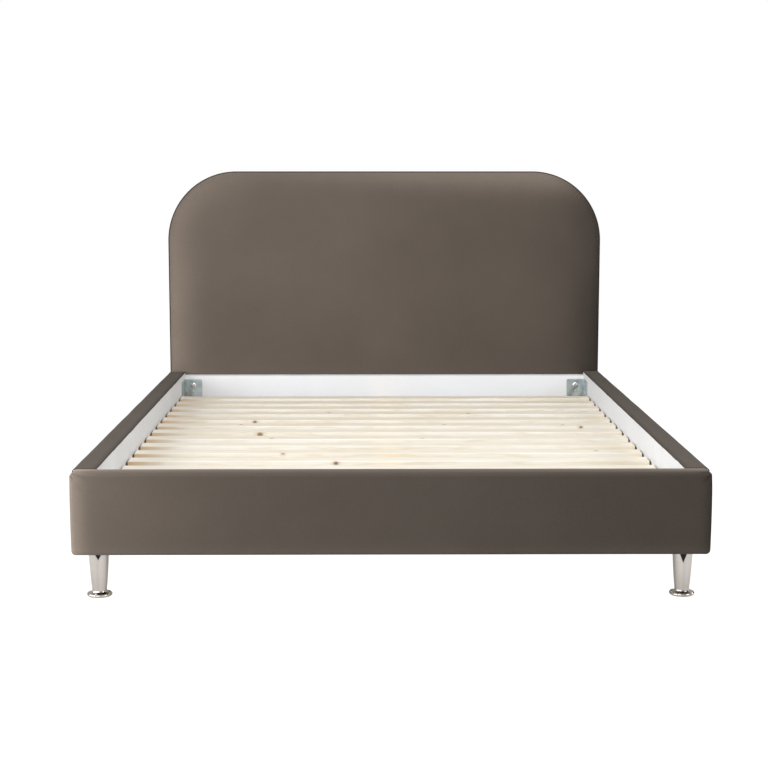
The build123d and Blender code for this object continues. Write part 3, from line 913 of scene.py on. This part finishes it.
def seam_painted_shade(x, y, z):
    """Painted shade: dark behind the seam, and a fine dark line along it."""
    if behind_seam(y):
        return 1
    return SEAM_DARK * max(0, 1 - (edge_run(x, z)[0] - FURROW + SEAM_LINE) / SEAM_LINE)


# Painted shade along and behind the seam
paint(front, "painted_shade", seam_painted_shade)
for vert in front.data.vertices:
    x, y, z = vert.co
    if behind_seam(y):
        continue
    inside, run, share = edge_run(x, z)
    on_arc = max(0.18, min(1, share * 7 + 0.6, (1 - share) * 7 + 0.6))
    near_edge = exp(-(((inside - 0.016) / 0.012) ** 2))
    swell = 0.0008 * noise.noise((x * 3.1, z * 3.1, 4.2))
    swell += 0.0003 * noise.noise((x * 11, z * 11, 1.5))
    vert.co.y -= PUCKER * on_arc * near_edge * ripple(x, run) + swell * min(1, inside / 0.06)
front.data.update()


def headboard_painted_light(x, y, z):
    """Painted light and shade: darker towards the right, a pale left edge, a deeper right edge, a
    pale top shoulder, and light and shade on the puckers.
    """
    share = x / HALF_WIDTH
    inside, run, turned = edge_run(x, z)
    base = -0.19 - 0.16 * share
    side = max(0, min(1, 1.25 - turned))
    lower = max(0, min(1, (0.75 - z) * 4))
    if x < 0:
        sides = side * near(inside, 0.085) * (0.47 + 0.17 * lower)
    else:
        sides = -side * near(inside, 0.11) * (0.22 + 0.11 * lower)
    wide = near(TOP_Z - z, 0.052 + 0.025 * share) * (0.42 + (0.6 if x > 0 else 0.4) * share)
    top = wide + 0.5 * near(inside, 0.010) * near(TOP_Z - z, 0.05)
    pucker = 0.12 * near(inside - 0.010, 0.016) * ripple(x, run) * (0 < turned < 1)
    return base + sides + top * min(1, inside / 0.003) + pucker


# Painted light and shade across the headboard's face
paint(front, "painted_light_and_shade", headboard_painted_light)
hand_over(front, "bed_frame", velvet, "velvet", "headboard_cover", "headboard_foam")

# %% [markdown]
# ## The band round the headboard's edge
# A strip of the same velvet runs round the edge, sewn to the front at the seam and folded over
# the back, where it is stapled. It is a sheet of cloth, so it is made as one: the outline's
# edge is pulled back from the seam, turned in over the back, and given a cloth's thickness.

# %% Edge band
HEM, HEM_TURN, HEM_RISE = 0.026, 0.0025, 0.0003
SEAM_FOLD = 0.004


def outer_edge(edge, place):
    return edge.is_boundary and edge_run(place.x, place.z)[0] < HEM / 2


band = outline_sheet("headboard_edge_band", 0, BACK_Y - 0.0008, 48)
bpy.ops.mesh.inset(thickness=HEM_TURN, depth=-HEM_RISE, use_even_offset=True)
bpy.ops.mesh.inset(thickness=HEM - HEM_TURN, depth=HEM_RISE, use_even_offset=True)
bpy.ops.mesh.delete(type="FACE")
select_none("EDGE")
pick(band, "edges", outer_edge)
for step_y in (BACK_Y - SEAM_FOLD, (BACK_Y + SEAM_Y) / 2, SEAM_Y + SEAM_FOLD, SEAM_Y):
    back = max(vert.co.y for vert in bmesh.from_edit_mesh(band.data).verts if vert.select)
    pull(0, step_y - back, 0)
cut_straights(band, 0.03)
close_up(band, 60)
edit(band)
select_whole()
faces = bmesh.from_edit_mesh(band.data).faces
under = (face for face in faces if middle(face).z < BOTTOM_Z + 0.001 and abs(face.normal.z) > 0.9)
if next(under).normal.z > 0:
    bpy.ops.mesh.flip_normals()
leave_edit()
finish_with(band, "SOLIDIFY", thickness=BAND_THICKNESS - 0.0002, offset=-1)
finish_with(band, "BEVEL", width=0.0005, segments=2, limit_method="ANGLE", angle_limit=radians(60))
close_up(band, 50)
# Painted shade along the fold at the seam
paint(band, "painted_shade", lambda x, y, z: 0.15 * max(0, min(1, 1 - (y - SEAM_Y) / SEAM_FOLD)))
hand_over(band, "bed_frame", velvet, "velvet", "headboard_border")

# %% [markdown]
# ## The back cloth
# The back of a headboard is closed with a thin black cloth, its edge folded under and stapled.
# It lies flat on the timbers and sags a little in the window between them. A flat sheet with
# the same outline gets a folded hem by two insets, and the window is moved in soft waves.

# %% Back cloth
CLOTH_INSET, CLOTH_HEM, HEM_STEP = 0.013, 0.012, 0.001
cloth = outline_sheet("headboard_back_sheet", CLOTH_INSET, BACK_Y, 40)
bpy.ops.mesh.inset(thickness=CLOTH_HEM, use_even_offset=True)
bpy.ops.mesh.inset(thickness=HEM_STEP, depth=0.0006, use_even_offset=True)
cut_straights(cloth, 0.025)
cut_corners(cloth, 0.03, CLOTH_INSET + CLOTH_HEM + HEM_STEP)
leave_edit()
rail_corner, board_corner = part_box("headboard_bottom_rail")[1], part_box("headboard_top_board")[0]
for vert in cloth.data.vertices:
    x, y, z = vert.co
    from_timber = min(rail_corner.x - abs(x), z - rail_corner.z, board_corner.z - z)
    loose = max(0, min(1, (from_timber - 0.01) / 0.12))
    wave = noise.noise((x * 4, z * 2.4, 9.1)) + 0.4 * noise.noise((x * 13, z * 8, 3.3))
    vert.co.y += loose * (0.0022 * wave - 0.0028)
edit(cloth)
select_whole()
bpy.ops.mesh.flip_normals()
leave_edit()
finish_with(cloth, "SOLIDIFY", thickness=0.0008, offset=-1)
close_up(cloth, 30)
hand_over(cloth, "bed_frame", back_cloth, "back_cloth", "headboard_back_cloth")

# %% [markdown]
# ## The rails' velvet
# Each rail is a board with foam on its outside, wrapped in velvet over the top and underneath.
# The wrap starts as a box whose outer edges are bevelled soft and whose inner edges stay
# crisp, is cut into a fine net so that it can bulge, and is hollowed for the board at the end.
# A box with a bevel alone looks like a painted plank, so the bulge and the folds matter.


# %% Wrap
WRAP, BOARD_DEPTH = 0.002, 0.040


def soft_edges(obj, wanted, width, segments):
    """Rounds the chosen edges of a block."""
    edit(obj, "EDGE")
    pick(obj, "edges", wanted)
    bpy.ops.mesh.bevel(offset=width, segments=segments, affect="EDGES", clamp_overlap=True)
    leave_edit()


def net(obj, low, high, steps):
    """Cuts a whole piece along all three axes."""
    edit(obj)
    for axis, step in enumerate(steps):
        cut_across(obj, axis, low[axis], high[axis], step)
    leave_edit()


def hollow(obj, axis, side):
    """Sinks the face at one side of a wrap, inside a narrow rim, for the board to sit in."""
    edit(obj)
    flat = max(side * vert.co[axis] for vert in obj.data.vertices) - 0.0008

    def outmost(face, place):
        return side * face.normal[axis] > 0.9 and side * place[axis] > flat

    pick(obj, "faces", outmost)
    bpy.ops.mesh.inset(thickness=WRAP, use_even_offset=True)
    pull(*on_axis(axis, -side * BOARD_DEPTH))
    leave_edit()


print("wrap:", WRAP, "m thick over the boards")

# %% Foot rail
foot_low, foot_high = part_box("foot_rail_cover")
FOOT_BULGE = 0.0014
END_ROUND, FRONT_ROUND = 0.011, 0.017
foot = block(
    "foot_rail_velvet",
    (foot_low.x + FOOT_BULGE, foot_low.y + 0.001, foot_low.z),
    (foot_high.x - FOOT_BULGE, foot_high.y, foot_high.z),
)
front_y = foot_low.y + 0.002
soft_edges(foot, lambda edge, at: along(edge, 1), END_ROUND, 6)
soft_edges(foot, lambda edge, at: at.y < front_y and not along(edge, 1), FRONT_ROUND, 8)
net(foot, foot_low, foot_high, (0.012, 0.009, 0.012))

FAN_REACH, FAN_DEPTH, FAN_PLEATS = 0.06, 0.0030, 9


def fold_fan(x, y, z):
    """How far a point sinks in the pleats that run out of a front corner like a fan."""
    side = copysign(1, x)
    offset = Vector((x - side * foot_high.x, y - foot_low.y, z - foot_high.z))
    if not 0.0005 <= offset.length <= FAN_REACH:
        return 0
    turn = atan2(abs(offset.z), abs(offset.x) + 0.0001)
    fade = (1 - offset.length / FAN_REACH) ** 1.5 * min(1, offset.length / 0.006)
    return FAN_DEPTH * fade * max(0, sin(FAN_PLEATS * turn + side * 0.7)) ** 2


for vert in foot.data.vertices:
    x, y, z = vert.co
    up = (z - foot_low.z) / (foot_high.z - foot_low.z)
    rise = max(0, sin(pi * min(1, max(0, up)))) ** 0.7
    end = max(0, 1 - (foot_high.x - FOOT_BULGE - abs(x)) / 0.05)
    rise_end = sin(pi / 2 * max(0, min(1, up * 1.7))) ** 0.9 - 0.2 * max(0, up * 5 - 4) ** 2
    vert.co.x += copysign(FOOT_BULGE, x) * end * rise_end
    front_share = max(0, 1 - (y - foot_low.y) / 0.02)
    swell = 0.0011 * noise.noise((x * 4.3, z * 9, 2.2))
    swell += 0.0004 * noise.noise((x * 17, z * 23, 5.1))
    vert.co.y += front_share * (0.002 * (1 - rise) + swell)
# Painted shade in the pleats of the corner fans
paint(foot, "painted_shade", lambda x, y, z: min(0.6, fold_fan(x, y, z) * 260))
for vert in foot.data.vertices:
    fan = fold_fan(*vert.co)
    vert.co.y += fan
    vert.co.x -= copysign(0.6 * fan, vert.co.x)
hollow(foot, 1, 1)
close_up(foot, 50)


def foot_painted_light(x, y, z):
    """Painted light and shade: deep on the front, paler to the left and darker to the right, pale
    at its left end and where it turns over its top and bottom.
    """
    share = x / foot_high.x
    base = -0.44 + (-0.13 * share if x > 0 else -0.17 * share + 0.15 * share**2)
    left, right = foot_high.x + x, foot_high.x - x
    sides = near(left, 0.034) * 0.85 + near(left, 0.12) * 0.07 - near(right, 0.02) * 0.15
    fade = near(foot_high.y - y, 0.021 + 0.008 * max(0, share))
    over = near(foot_high.z - z, 0.004) * (0.08 + (0.5 + 0.6 * abs(share)) * fade)
    ridge = near(foot_high.y - y, 0.007) * near(foot_high.x - abs(x), 0.07) * 0.25
    ridge *= z > foot_high.z - 0.004
    return base + sides + over + ridge + near(z - foot_low.z, 0.02) * 0.12


# Painted light and shade across the foot rail
paint(foot, "painted_light_and_shade", foot_painted_light)
hand_over(foot, "bed_frame", velvet, "velvet", "foot_rail_cover", "foot_rail_foam")

# %% Side rails
for side, sign in (("left", -1), ("right", 1)):
    low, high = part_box(f"side_rail_cover_{side}")
    outer_x, inner_x = (low.x, high.x) if sign < 0 else (high.x, low.x)
    rail = block(f"side_rail_velvet_{side}", low, high)
    # Its long outer edges, its long inner top edge, and the edges at its foot and at its head
    rounded = (
        (lambda run, at: run and abs(at.x - outer_x) < 0.001, 0.005, 5),
        (lambda run, at: run and at.z > high.z - 0.001 and abs(at.x - outer_x) > 0.04, 0.0022, 3),
        (lambda run, at: not run and at.y < low.y + 0.001, 0.005, 4),
        (lambda run, at: not run and at.y > high.y - 0.001, 0.004, 3),
    )
    for wanted, width, segments in rounded:
        soft_edges(rail, lambda edge, place: wanted(along(edge, 1), place), width, segments)
    net(rail, low, high, (0.016, 0.018, 0.016))
    for vert in rail.data.vertices:
        x, y, z = vert.co
        outside = max(0, 1 - abs(x - outer_x) / 0.03)
        inside = max(0, 1 - abs(abs(x) - abs(inner_x)) / 0.012)
        up = (z - low.z) / (high.z - low.z)
        swell = 0.0012 * noise.noise((y * 4, z * 9, 3.0 + sign))
        swell += 0.0004 * noise.noise((y * 16, z * 22, sign))
        vert.co.x -= sign * outside * (0.0015 * (1 - max(0, sin(pi * up))) ** 1.5 + 0.5 * swell)
        top = max(0, (z - high.z + 0.02) / 0.02)
        vert.co.z += top * (0.0007 * noise.noise((y * 7, x * 20, 8 + sign)) - 0.0006)
        vert.co.x += top * inside * 0.0009 * noise.noise((y * 9, 1.7, sign))
    hollow(rail, 0, -sign)
    close_up(rail, 50)

    def end_painted_shade(x, y, z):
        """Painted shade: dark where the rail meets the foot rail, and along its lining."""
        return min(1, 0.9 * near(y - low.y, 0.012) + 0.35 * near(abs(abs(x) - abs(inner_x)), 0.006))

    paint(rail, "painted_shade", end_painted_shade)
    # Painted shade: the rail's velvet is deeper towards the head end
    paint(rail, "painted_light_and_shade", lambda x, y, z: -0.36 - 0.08 * (y - low.y) / (high.y - low.y))
    hidden = (f"side_rail_cover_{side}", f"side_rail_foam_{side}")
    hand_over(rail, "bed_frame", velvet, "velvet", *hidden)

# %% [markdown]
# ## The white linings
# Thin white cloth is stapled over the bare inner faces of the rails. It lies nearly flat, with
# a few soft waves where it was pulled, and its edge is turned under. Each is a flat sheet cut
# into a net, waved and given a thickness.


# %% Linings
TOP_TURNS = (0.06, 0.47, 0.47)


def lining_sheet(name, node, across, inward, top_depth=0):
    """A sheet over the inner face of a rail. across is the axis that it runs along, and inward
    is the side of the rail's thin axis that faces the mattress."""
    low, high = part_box(node)
    thin = 1 - across
    face = high[thin] if inward > 0 else low[thin]
    length, tall = high[across] - low[across], high.z - low.z
    place = [(a + b) / 2 for a, b in zip(low, high)]
    place[thin] = face
    alone()
    turn = (pi / 2, 0, across * pi / 2)
    bpy.ops.mesh.primitive_plane_add(size=1, location=place, rotation=turn)
    bpy.context.object.scale = (length, tall, 1)
    obj = begin(name)
    edit(obj)
    for axis, step in ((across, 0.02), (2, 0.016)):
        cut_across(obj, axis, low[axis], high[axis], step)
    if top_depth:

        def top_edge(edge, place):
            return edge.is_boundary and place.z > high.z - 0.0001 and along(edge, across)

        select_none("EDGE")
        pick(obj, "edges", top_edge)
        for share in TOP_TURNS:
            pull(*on_axis(thin, -inward * top_depth * share))
    select_whole()
    bpy.ops.mesh.normals_make_consistent(inside=False)
    mesh = bmesh.from_edit_mesh(obj.data)
    facing = next(face for face in mesh.faces if abs(face.normal[thin]) > 0.9)
    if facing.normal[thin] * inward < 0:
        bpy.ops.mesh.flip_normals()
    leave_edit()
    for vert in obj.data.vertices:
        run, z = vert.co[across], vert.co.z
        wave = noise.noise((run * 5, z * 9, face)) + 0.5 * noise.noise((run * 21, z * 14, face + 3))
        vert.co[thin] -= inward * (0.0006 + 0.0005 * wave)
        vert.co.z -= 0.0004 * (1 + noise.noise((run * 13, z, 2.0))) * (z > high.z - 0.001)
    finish_with(obj, "SOLIDIFY", thickness=0.0009, offset=-1)
    close_up(obj, 40)
    return hand_over(obj, "bed_frame", side_lining_with_painted_shade if across == 1 else lining, "lining", node)


lining_sheet("side_rail_sheet_left", "side_rail_lining_left", 1, 1)
lining_sheet("side_rail_sheet_right", "side_rail_lining_right", 1, -1)
lining_sheet("foot_rail_sheet", "foot_rail_lining", 0, 1)
head_low, head_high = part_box("head_rail_lining")
lining_sheet("head_rail_sheet", "head_rail_lining", 0, -1, head_high.y - head_low.y - 0.001)

# %% [markdown]
# ## Turned pieces
# Legs, bolt heads and levelling feet come off a lathe, so each is a profile spun round a line.
# The profile starts as one corner of a plane: the rest of the plane is deleted, and the corner
# is extruded from point to point. A cylinder with loops would do for a straight leg, but a
# spun profile holds the flare and the round rim in a few points.


# %% Lathe
def one_vertex(name, place):
    """A piece of one selected vertex in edit mode: the other corners of a plane are deleted."""
    alone()
    bpy.ops.mesh.primitive_plane_add(size=1, location=(0, 0, 0))
    obj = begin(name)
    edit(obj, "VERT")
    pick(obj, "verts", lambda vert, at: vert.index != 0)
    bpy.ops.mesh.delete(type="VERT")
    mesh = bmesh.from_edit_mesh(obj.data)
    mesh.verts.ensure_lookup_table()
    mesh.verts[0].co = place
    mesh.verts[0].select_set(True)
    bmesh.update_edit_mesh(obj.data)
    return obj


def draw_on(*move):
    """Extrudes the selected vertex to the next point of a line."""
    bpy.ops.mesh.extrude_vertices_move(TRANSFORM_OT_translate={"value": move})


def turned_piece(name, profile, steps, place=(0, 0, 0)):
    """Spins a profile of (radius, height) round a vertical line through a place."""
    radius, z = profile[0]
    obj = one_vertex(name, (place[0] + radius, place[1], place[2] + z))
    for next_radius, next_z in profile[1:]:
        draw_on(next_radius - radius, 0, next_z - z)
        radius, z = next_radius, next_z
    select_whole()
    bpy.ops.mesh.spin(steps=steps, angle=2 * pi, center=place, axis=(0, 0, 1))
    return close_up(obj, 30)


def round_edge(centre_radius, centre_z, radius, start, stop, steps):
    """Points on a rounded edge of a profile, between two angles in degrees."""
    turns = [radians(start + (stop - start) * step / steps) for step in range(steps + 1)]
    return [(centre_radius + radius * cos(turn), centre_z + radius * sin(turn)) for turn in turns]


def join(pieces, name):
    """Makes one object of several."""
    alone()
    for piece in pieces:
        piece.select_set(True)
    bpy.context.view_layer.objects.active = pieces[0]
    if len(pieces) > 1:
        bpy.ops.object.join()
    pieces[0].name = pieces[0].data.name = name
    return pieces[0]


def copy_at(obj, place, turn=None):
    """A copy with its own mesh, turned and then moved."""
    copy = obj.copy()
    copy.data = obj.data.copy()
    bpy.context.scene.collection.objects.link(copy)
    if turn:
        copy.data.transform(turn)
    for vert in copy.data.vertices:
        vert.co += Vector(place)
    return copy


# %% Legs
DISC, RIM, RIM_Z = 0.0325, 0.0045, 0.00475
WAIST, FLARE, CONE_FOOT, CONE_STEPS = 0.01905, 0.0071, 0.021, 7
LEGS = [(end, side) for end in ("foot", "head") for side in ("left", "right")]

leg_profile = [(0, 0), (0.0295, 0), *round_edge(DISC - RIM, RIM_Z, RIM, -75, 75, 8)]
leg_profile += [(0.0268, 0.0096), (0.0225, 0.0101), (0.0203, 0.0112), (0.0192, 0.0130)]
leg_profile += [(0.0188, 0.0155), (WAIST, CONE_FOOT)]
for step in range(1, CONE_STEPS + 1):
    share = step / CONE_STEPS
    rise = (LEG_HIGH.z - CONE_FOOT - 0.0008) * share
    leg_profile.append((WAIST + FLARE * share**0.76, CONE_FOOT + rise))
leg_profile += [(0.0257, LEG_HIGH.z), (0, LEG_HIGH.z)]


def leg_centre(end, side):
    low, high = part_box(f"leg_{end}_{side}")
    return (low.x + high.x) / 2, (low.y + high.y) / 2


for end, side in LEGS:
    leg = turned_piece(f"chrome_leg_{end}_{side}", leg_profile, 96, (*leg_centre(end, side), 0))
    hand_over(leg, "bed_frame", chrome, "chrome", f"leg_{end}_{side}")

# %% [markdown]
# ## Bolts with hexagon sockets
# The bolt heads are low domes with a six-sided socket. The dome is spun, its innermost ring is
# pushed out into a hexagon, and the hexagon is extruded down into the head. A boolean cut would
# leave long thin triangles in the dome.

# %% Bolts
SOCKET, SOCKET_DEPTH = 0.0030, 0.0032
HEAD_HEIGHT, HEAD_RADIUS = 0.005, 0.011
BOLT_HEAD = [(0.004, 0), (0.0106, 0), (HEAD_RADIUS, 0.0005), (HEAD_RADIUS, 0.0011)]
BOLT_HEAD += [(0.0105, 0.0024), (0.0094, 0.0034), (0.0078, 0.0043), (0.0062, 0.0048)]
BOLT_HEAD += [(0.0047, HEAD_HEIGHT), (0.0040, HEAD_HEIGHT)]


def shape_recess(obj, reach):
    """Moves the selected ring in or out, to as far as reach(direction) says."""
    mesh = bmesh.from_edit_mesh(obj.data)
    for vert in [vert for vert in mesh.verts if vert.select]:
        turn = atan2(vert.co.y, vert.co.x)
        vert.co.x, vert.co.y = reach(turn) * cos(turn), reach(turn) * sin(turn)
    bmesh.update_edit_mesh(obj.data)


def sink(obj, depth):
    """Extrudes the selected ring down and closes it below."""
    pull(0, 0, -depth)
    bpy.ops.mesh.edge_face_add()
    return close_up(obj, 35)


def hexagon_edge(turn):
    """How far a hexagon reaches in a direction."""
    return SOCKET / cos((turn + pi / 6) % (pi / 3) - pi / 6)


def socket_bolt(name, length):
    """A domed bolt with its head's underside at the origin, pointing down."""
    tip = [(0, -length), (0.0034, -length), (0.004, 0.0008 - length)]
    obj = turned_piece(name, tip + BOLT_HEAD, 48)
    edit(obj, "VERT")
    pick(obj, "verts", lambda vert, at: at.z > 0.00495 and hypot(at.x, at.y) < 0.0041)
    shape_recess(obj, hexagon_edge)
    return sink(obj, SOCKET_DEPTH)


for name, node, turn in (
    ("headboard_socket_bolts", "headboard_bolts", pi / 2),
    ("foot_rail_socket_bolts", "foot_rail_bolts", -pi / 2),
):
    low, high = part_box(node)
    seat_y = low.y + HEAD_HEIGHT if turn > 0 else high.y - HEAD_HEIGHT
    pattern = socket_bolt(name, high.y - low.y - HEAD_HEIGHT)
    both = []
    for sign in (-1, 1):
        turned = Matrix.Rotation(turn, 4, "X") @ Matrix.Rotation(0.35 * sign, 4, "Z")
        place = (sign * (high.x - HEAD_RADIUS), seat_y, (low.z + high.z) / 2)
        both.append(copy_at(pattern, place, turned))
    bpy.data.objects.remove(pattern)
    hand_over(join(both, name), "bed_frame", steel, "fastener_steel", node)

# %% [markdown]
# ## Levelling feet
# Under the middle legs sit plastic pads on threaded stems, screwed in or out until they meet
# the floor. The pad is spun. The thread is a zigzag line that a Screw modifier lifts by one
# pitch in each turn, as a real thread climbs.

# %% Levelling feet
PITCH, TOOTH = 0.0015, 0.0007
STEM, THREAD_FOOT, THREAD_SPARE = 0.0044, 0.0092, 0.0132
PAD = [(0, 0), (0.0195, 0), (0.0212, 0.0008), (0.0220, 0.0024), (0.0220, 0.0052)]
PAD += [(0.0212, 0.0066), (0.0180, 0.0073), (0.0095, 0.0078), (0.0090, 0.0090)]
PAD += [(0.0046, 0.0090), (STEM, THREAD_FOOT)]
for end in ("foot", "head"):
    node = f"levelling_foot_{end}"
    low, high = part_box(node)
    y = (low.y + high.y) / 2
    stem = [(STEM, high.z - 0.001), (STEM - 0.001, high.z), (0, high.z)]
    base = turned_piece("pad", PAD + stem, 48, (0, y, 0))
    thread = one_vertex("thread", (STEM - 0.0001, 0, THREAD_FOOT))
    for tooth in range(int((high.z - THREAD_SPARE) / PITCH)):
        draw_on(TOOTH, 0, PITCH / 2)
        draw_on(-TOOTH, 0, PITCH / 2)
    leave_edit()
    turns = {"steps": 24, "render_steps": 24, "screw_offset": PITCH}
    finish_with(thread, "SCREW", use_merge_vertices=True, **turns)
    for vert in thread.data.vertices:
        vert.co.y += y
    close_up(thread, 20)
    pad = join([base, thread], f"levelling_pad_{end}")
    hand_over(pad, node, plastic, "black_plastic", node)

# %% [markdown]
# ## Screws and staples
# Small fasteners are what make a frame look built. One cross-headed wood screw is modelled and
# copied to every plate, bracket and ledge, and one staple is copied round the back cloth. Each
# copy is only a few dozen faces, and copies of one kind are joined into one object.

# %% Wood screw
SCREW_RISE = 0.0016
CROSS_REACH, CROSS_HALF, CROSS_DEPTH = 0.0024, 0.0005, 0.0011
SCREW = [(0, -0.006), (0.0016, -0.006), (0.0018, 0), (0.0040, 0), (0.0042, 0.0003)]
SCREW += [(0.0039, 0.0009), (0.0032, 0.0014), (0.0026, SCREW_RISE)]


def cross_edge(turn):
    """How far a cross-shaped recess reaches in a direction."""
    turn = (turn + pi / 4) % (pi / 2) - pi / 4
    return min(CROSS_REACH / cos(turn), CROSS_HALF / max(abs(sin(turn)), 0.01))


def wood_screw():
    """The head and a short length of a wood screw, head up, seated at the origin."""
    obj = turned_piece("wood_screw", SCREW, 24)
    edit(obj, "VERT")
    pick(obj, "verts", lambda vert, at: at.z > SCREW_RISE - 0.0001)
    pull(0, 0, 0)
    shape_recess(obj, cross_edge)
    return sink(obj, CROSS_DEPTH)


def screw_set(name, spots):
    """Copies the screw to spots of (place, the way its head faces, turn of its cross)."""
    copies = []
    for place, facing, spin in spots:
        turn = Vector(facing).to_track_quat("Z", "Y").to_matrix().to_4x4()
        copies.append(copy_at(screw, place, turn @ Matrix.Rotation(spin, 4, "Z")))
    return hand_over(join(copies, name), "bed_frame", steel, "fastener_steel")


screw = wood_screw()
print("wood screw:", len(screw.data.polygons), "faces")

# %% Screws of the plates, brackets, hangers and ledges
PLATE, PLATE_SPOT = 0.003, 0.0300
LEAF, LEAF_SPOT, LEAF_DROPS = 0.0025, 0.050, (0.008, 0.023, 0.038, 0.052)
HANGER, EAR_SPOT, EAR_DROP = 0.0025, 0.013, 0.010
LEDGE_SCREWS = 7

plate_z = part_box("leg_plates")[1].z - PLATE
spots = []
for leg in LEGS:
    x, y = leg_centre(*leg)
    for across in (-1, 1):
        for run in (-1, 1):
            place = (x + across * PLATE_SPOT, y + run * PLATE_SPOT, plate_z)
            spots.append((place, (0, 0, -1), 0.4 * across + 0.9 * run + y))
screw_set("leg_plate_screws", spots)

spots = []
for end, away in (("foot", 1), ("head", -1)):
    for side, sign in (("left", -1), ("right", 1)):
        low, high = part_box(f"corner_bracket_{end}_{side}")
        inner_x = (high.x if sign > 0 else low.x) - sign * LEAF
        y = (low.y if away > 0 else high.y) + away * LEAF_SPOT
        for number, drop in enumerate(LEAF_DROPS):
            spots.append(((inner_x, y, high.z - drop), (-sign, 0, 0), number * 0.7 + sign))
screw_set("bracket_screws", spots)

low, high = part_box("centre_rail_hangers")
spots = [
    ((sign * (high.x - EAR_SPOT), y, z), (0, facing, 0), sign * 0.5 + z * 90)
    for sign in (-1, 1)
    for y, facing in ((high.y - HANGER, -1), (low.y + HANGER, 1))
    for z in (low.z + EAR_DROP, high.z - EAR_DROP)
]
screw_set("hanger_screws", spots)

low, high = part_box("slat_ledge_right")
ledge_z, ledge_step = (low.z + high.z) / 2, (high.y - low.y) / LEDGE_SCREWS
spots = [
    ((sign * low.x, low.y + ledge_step * (number + 0.5), ledge_z), (-sign, 0, 0), number + sign)
    for sign in (-1, 1)
    for number in range(LEDGE_SCREWS)
]
screw_set("ledge_screws", spots)
bpy.data.objects.remove(screw)

# %% Staples round the back cloth
STAPLE_HALF, STAPLE_WIRE = 0.0050, 0.0007
STAPLE_INSET = CLOTH_INSET + 0.006
STAPLES, STAPLED_EDGE = 84, 4.78

low = (-STAPLE_HALF, -0.0020, -STAPLE_WIRE / 2)
staple = block("staple", low, (STAPLE_HALF, STAPLE_WIRE, STAPLE_WIRE / 2))
crown = STAPLE_HALF - STAPLE_WIRE
edit(staple)
for x in (-crown, crown):
    select_whole()
    bpy.ops.mesh.bisect(plane_co=(x, 0, 0), plane_no=(1, 0, 0))
select_none("FACE")
pick(staple, "faces", lambda face, at: face.normal.y < -0.9 and abs(at.x) < crown)
pull(0, 0.0018, 0)
leave_edit()
soft_edges(staple, lambda edge, at: along(edge, 0) and at.y > 0, STAPLE_WIRE * 0.35, 2)
close_up(staple, 60)


def edge_spot(run):
    """A place and a direction on the outline, drawn in for the staples, from a length along it."""
    reach, radius = HALF_WIDTH - STAPLE_INSET, CORNER - STAPLE_INSET
    base, arc = BOTTOM_Z + STAPLE_INSET, radius * pi / 2

    def corner(side, turn, lean):
        return side * (CORNER_X + radius * cos(turn)), CORNER_Z + radius * sin(turn), lean

    stretches = (
        (CORNER_Z - base, lambda at: (-reach, base + at, pi / 2)),
        (arc, lambda at: corner(-1, at / radius, pi / 2 - at / radius)),
        (2 * CORNER_X, lambda at: (at - CORNER_X, TOP_Z - STAPLE_INSET, 0)),
        (arc, lambda at: corner(1, pi / 2 - at / radius, -at / radius)),
        (CORNER_Z - base, lambda at: (reach, CORNER_Z - at, pi / 2)),
        (2 * reach, lambda at: (reach - at, base, 0)),
    )
    for length, spot in stretches:
        if run < length:
            return spot(run)
        run -= length
    return stretches[0][1](0)


staples = []
for number in range(STAPLES):
    place = number + 0.5 + 0.16 * noise.noise((number * 1.7, 0.4, 2.2))
    x, z, turn = edge_spot(place * STAPLED_EDGE / STAPLES)
    turn += 0.12 * noise.noise((number * 2.3, 5.1, 0.7))
    staples.append(copy_at(staple, (x, BACK_Y + 0.0002, z), Matrix.Rotation(-turn, 4, "Y")))
bpy.data.objects.remove(staple)
hand_over(join(staples, "back_cloth_staples"), "bed_frame", steel, "fastener_steel")
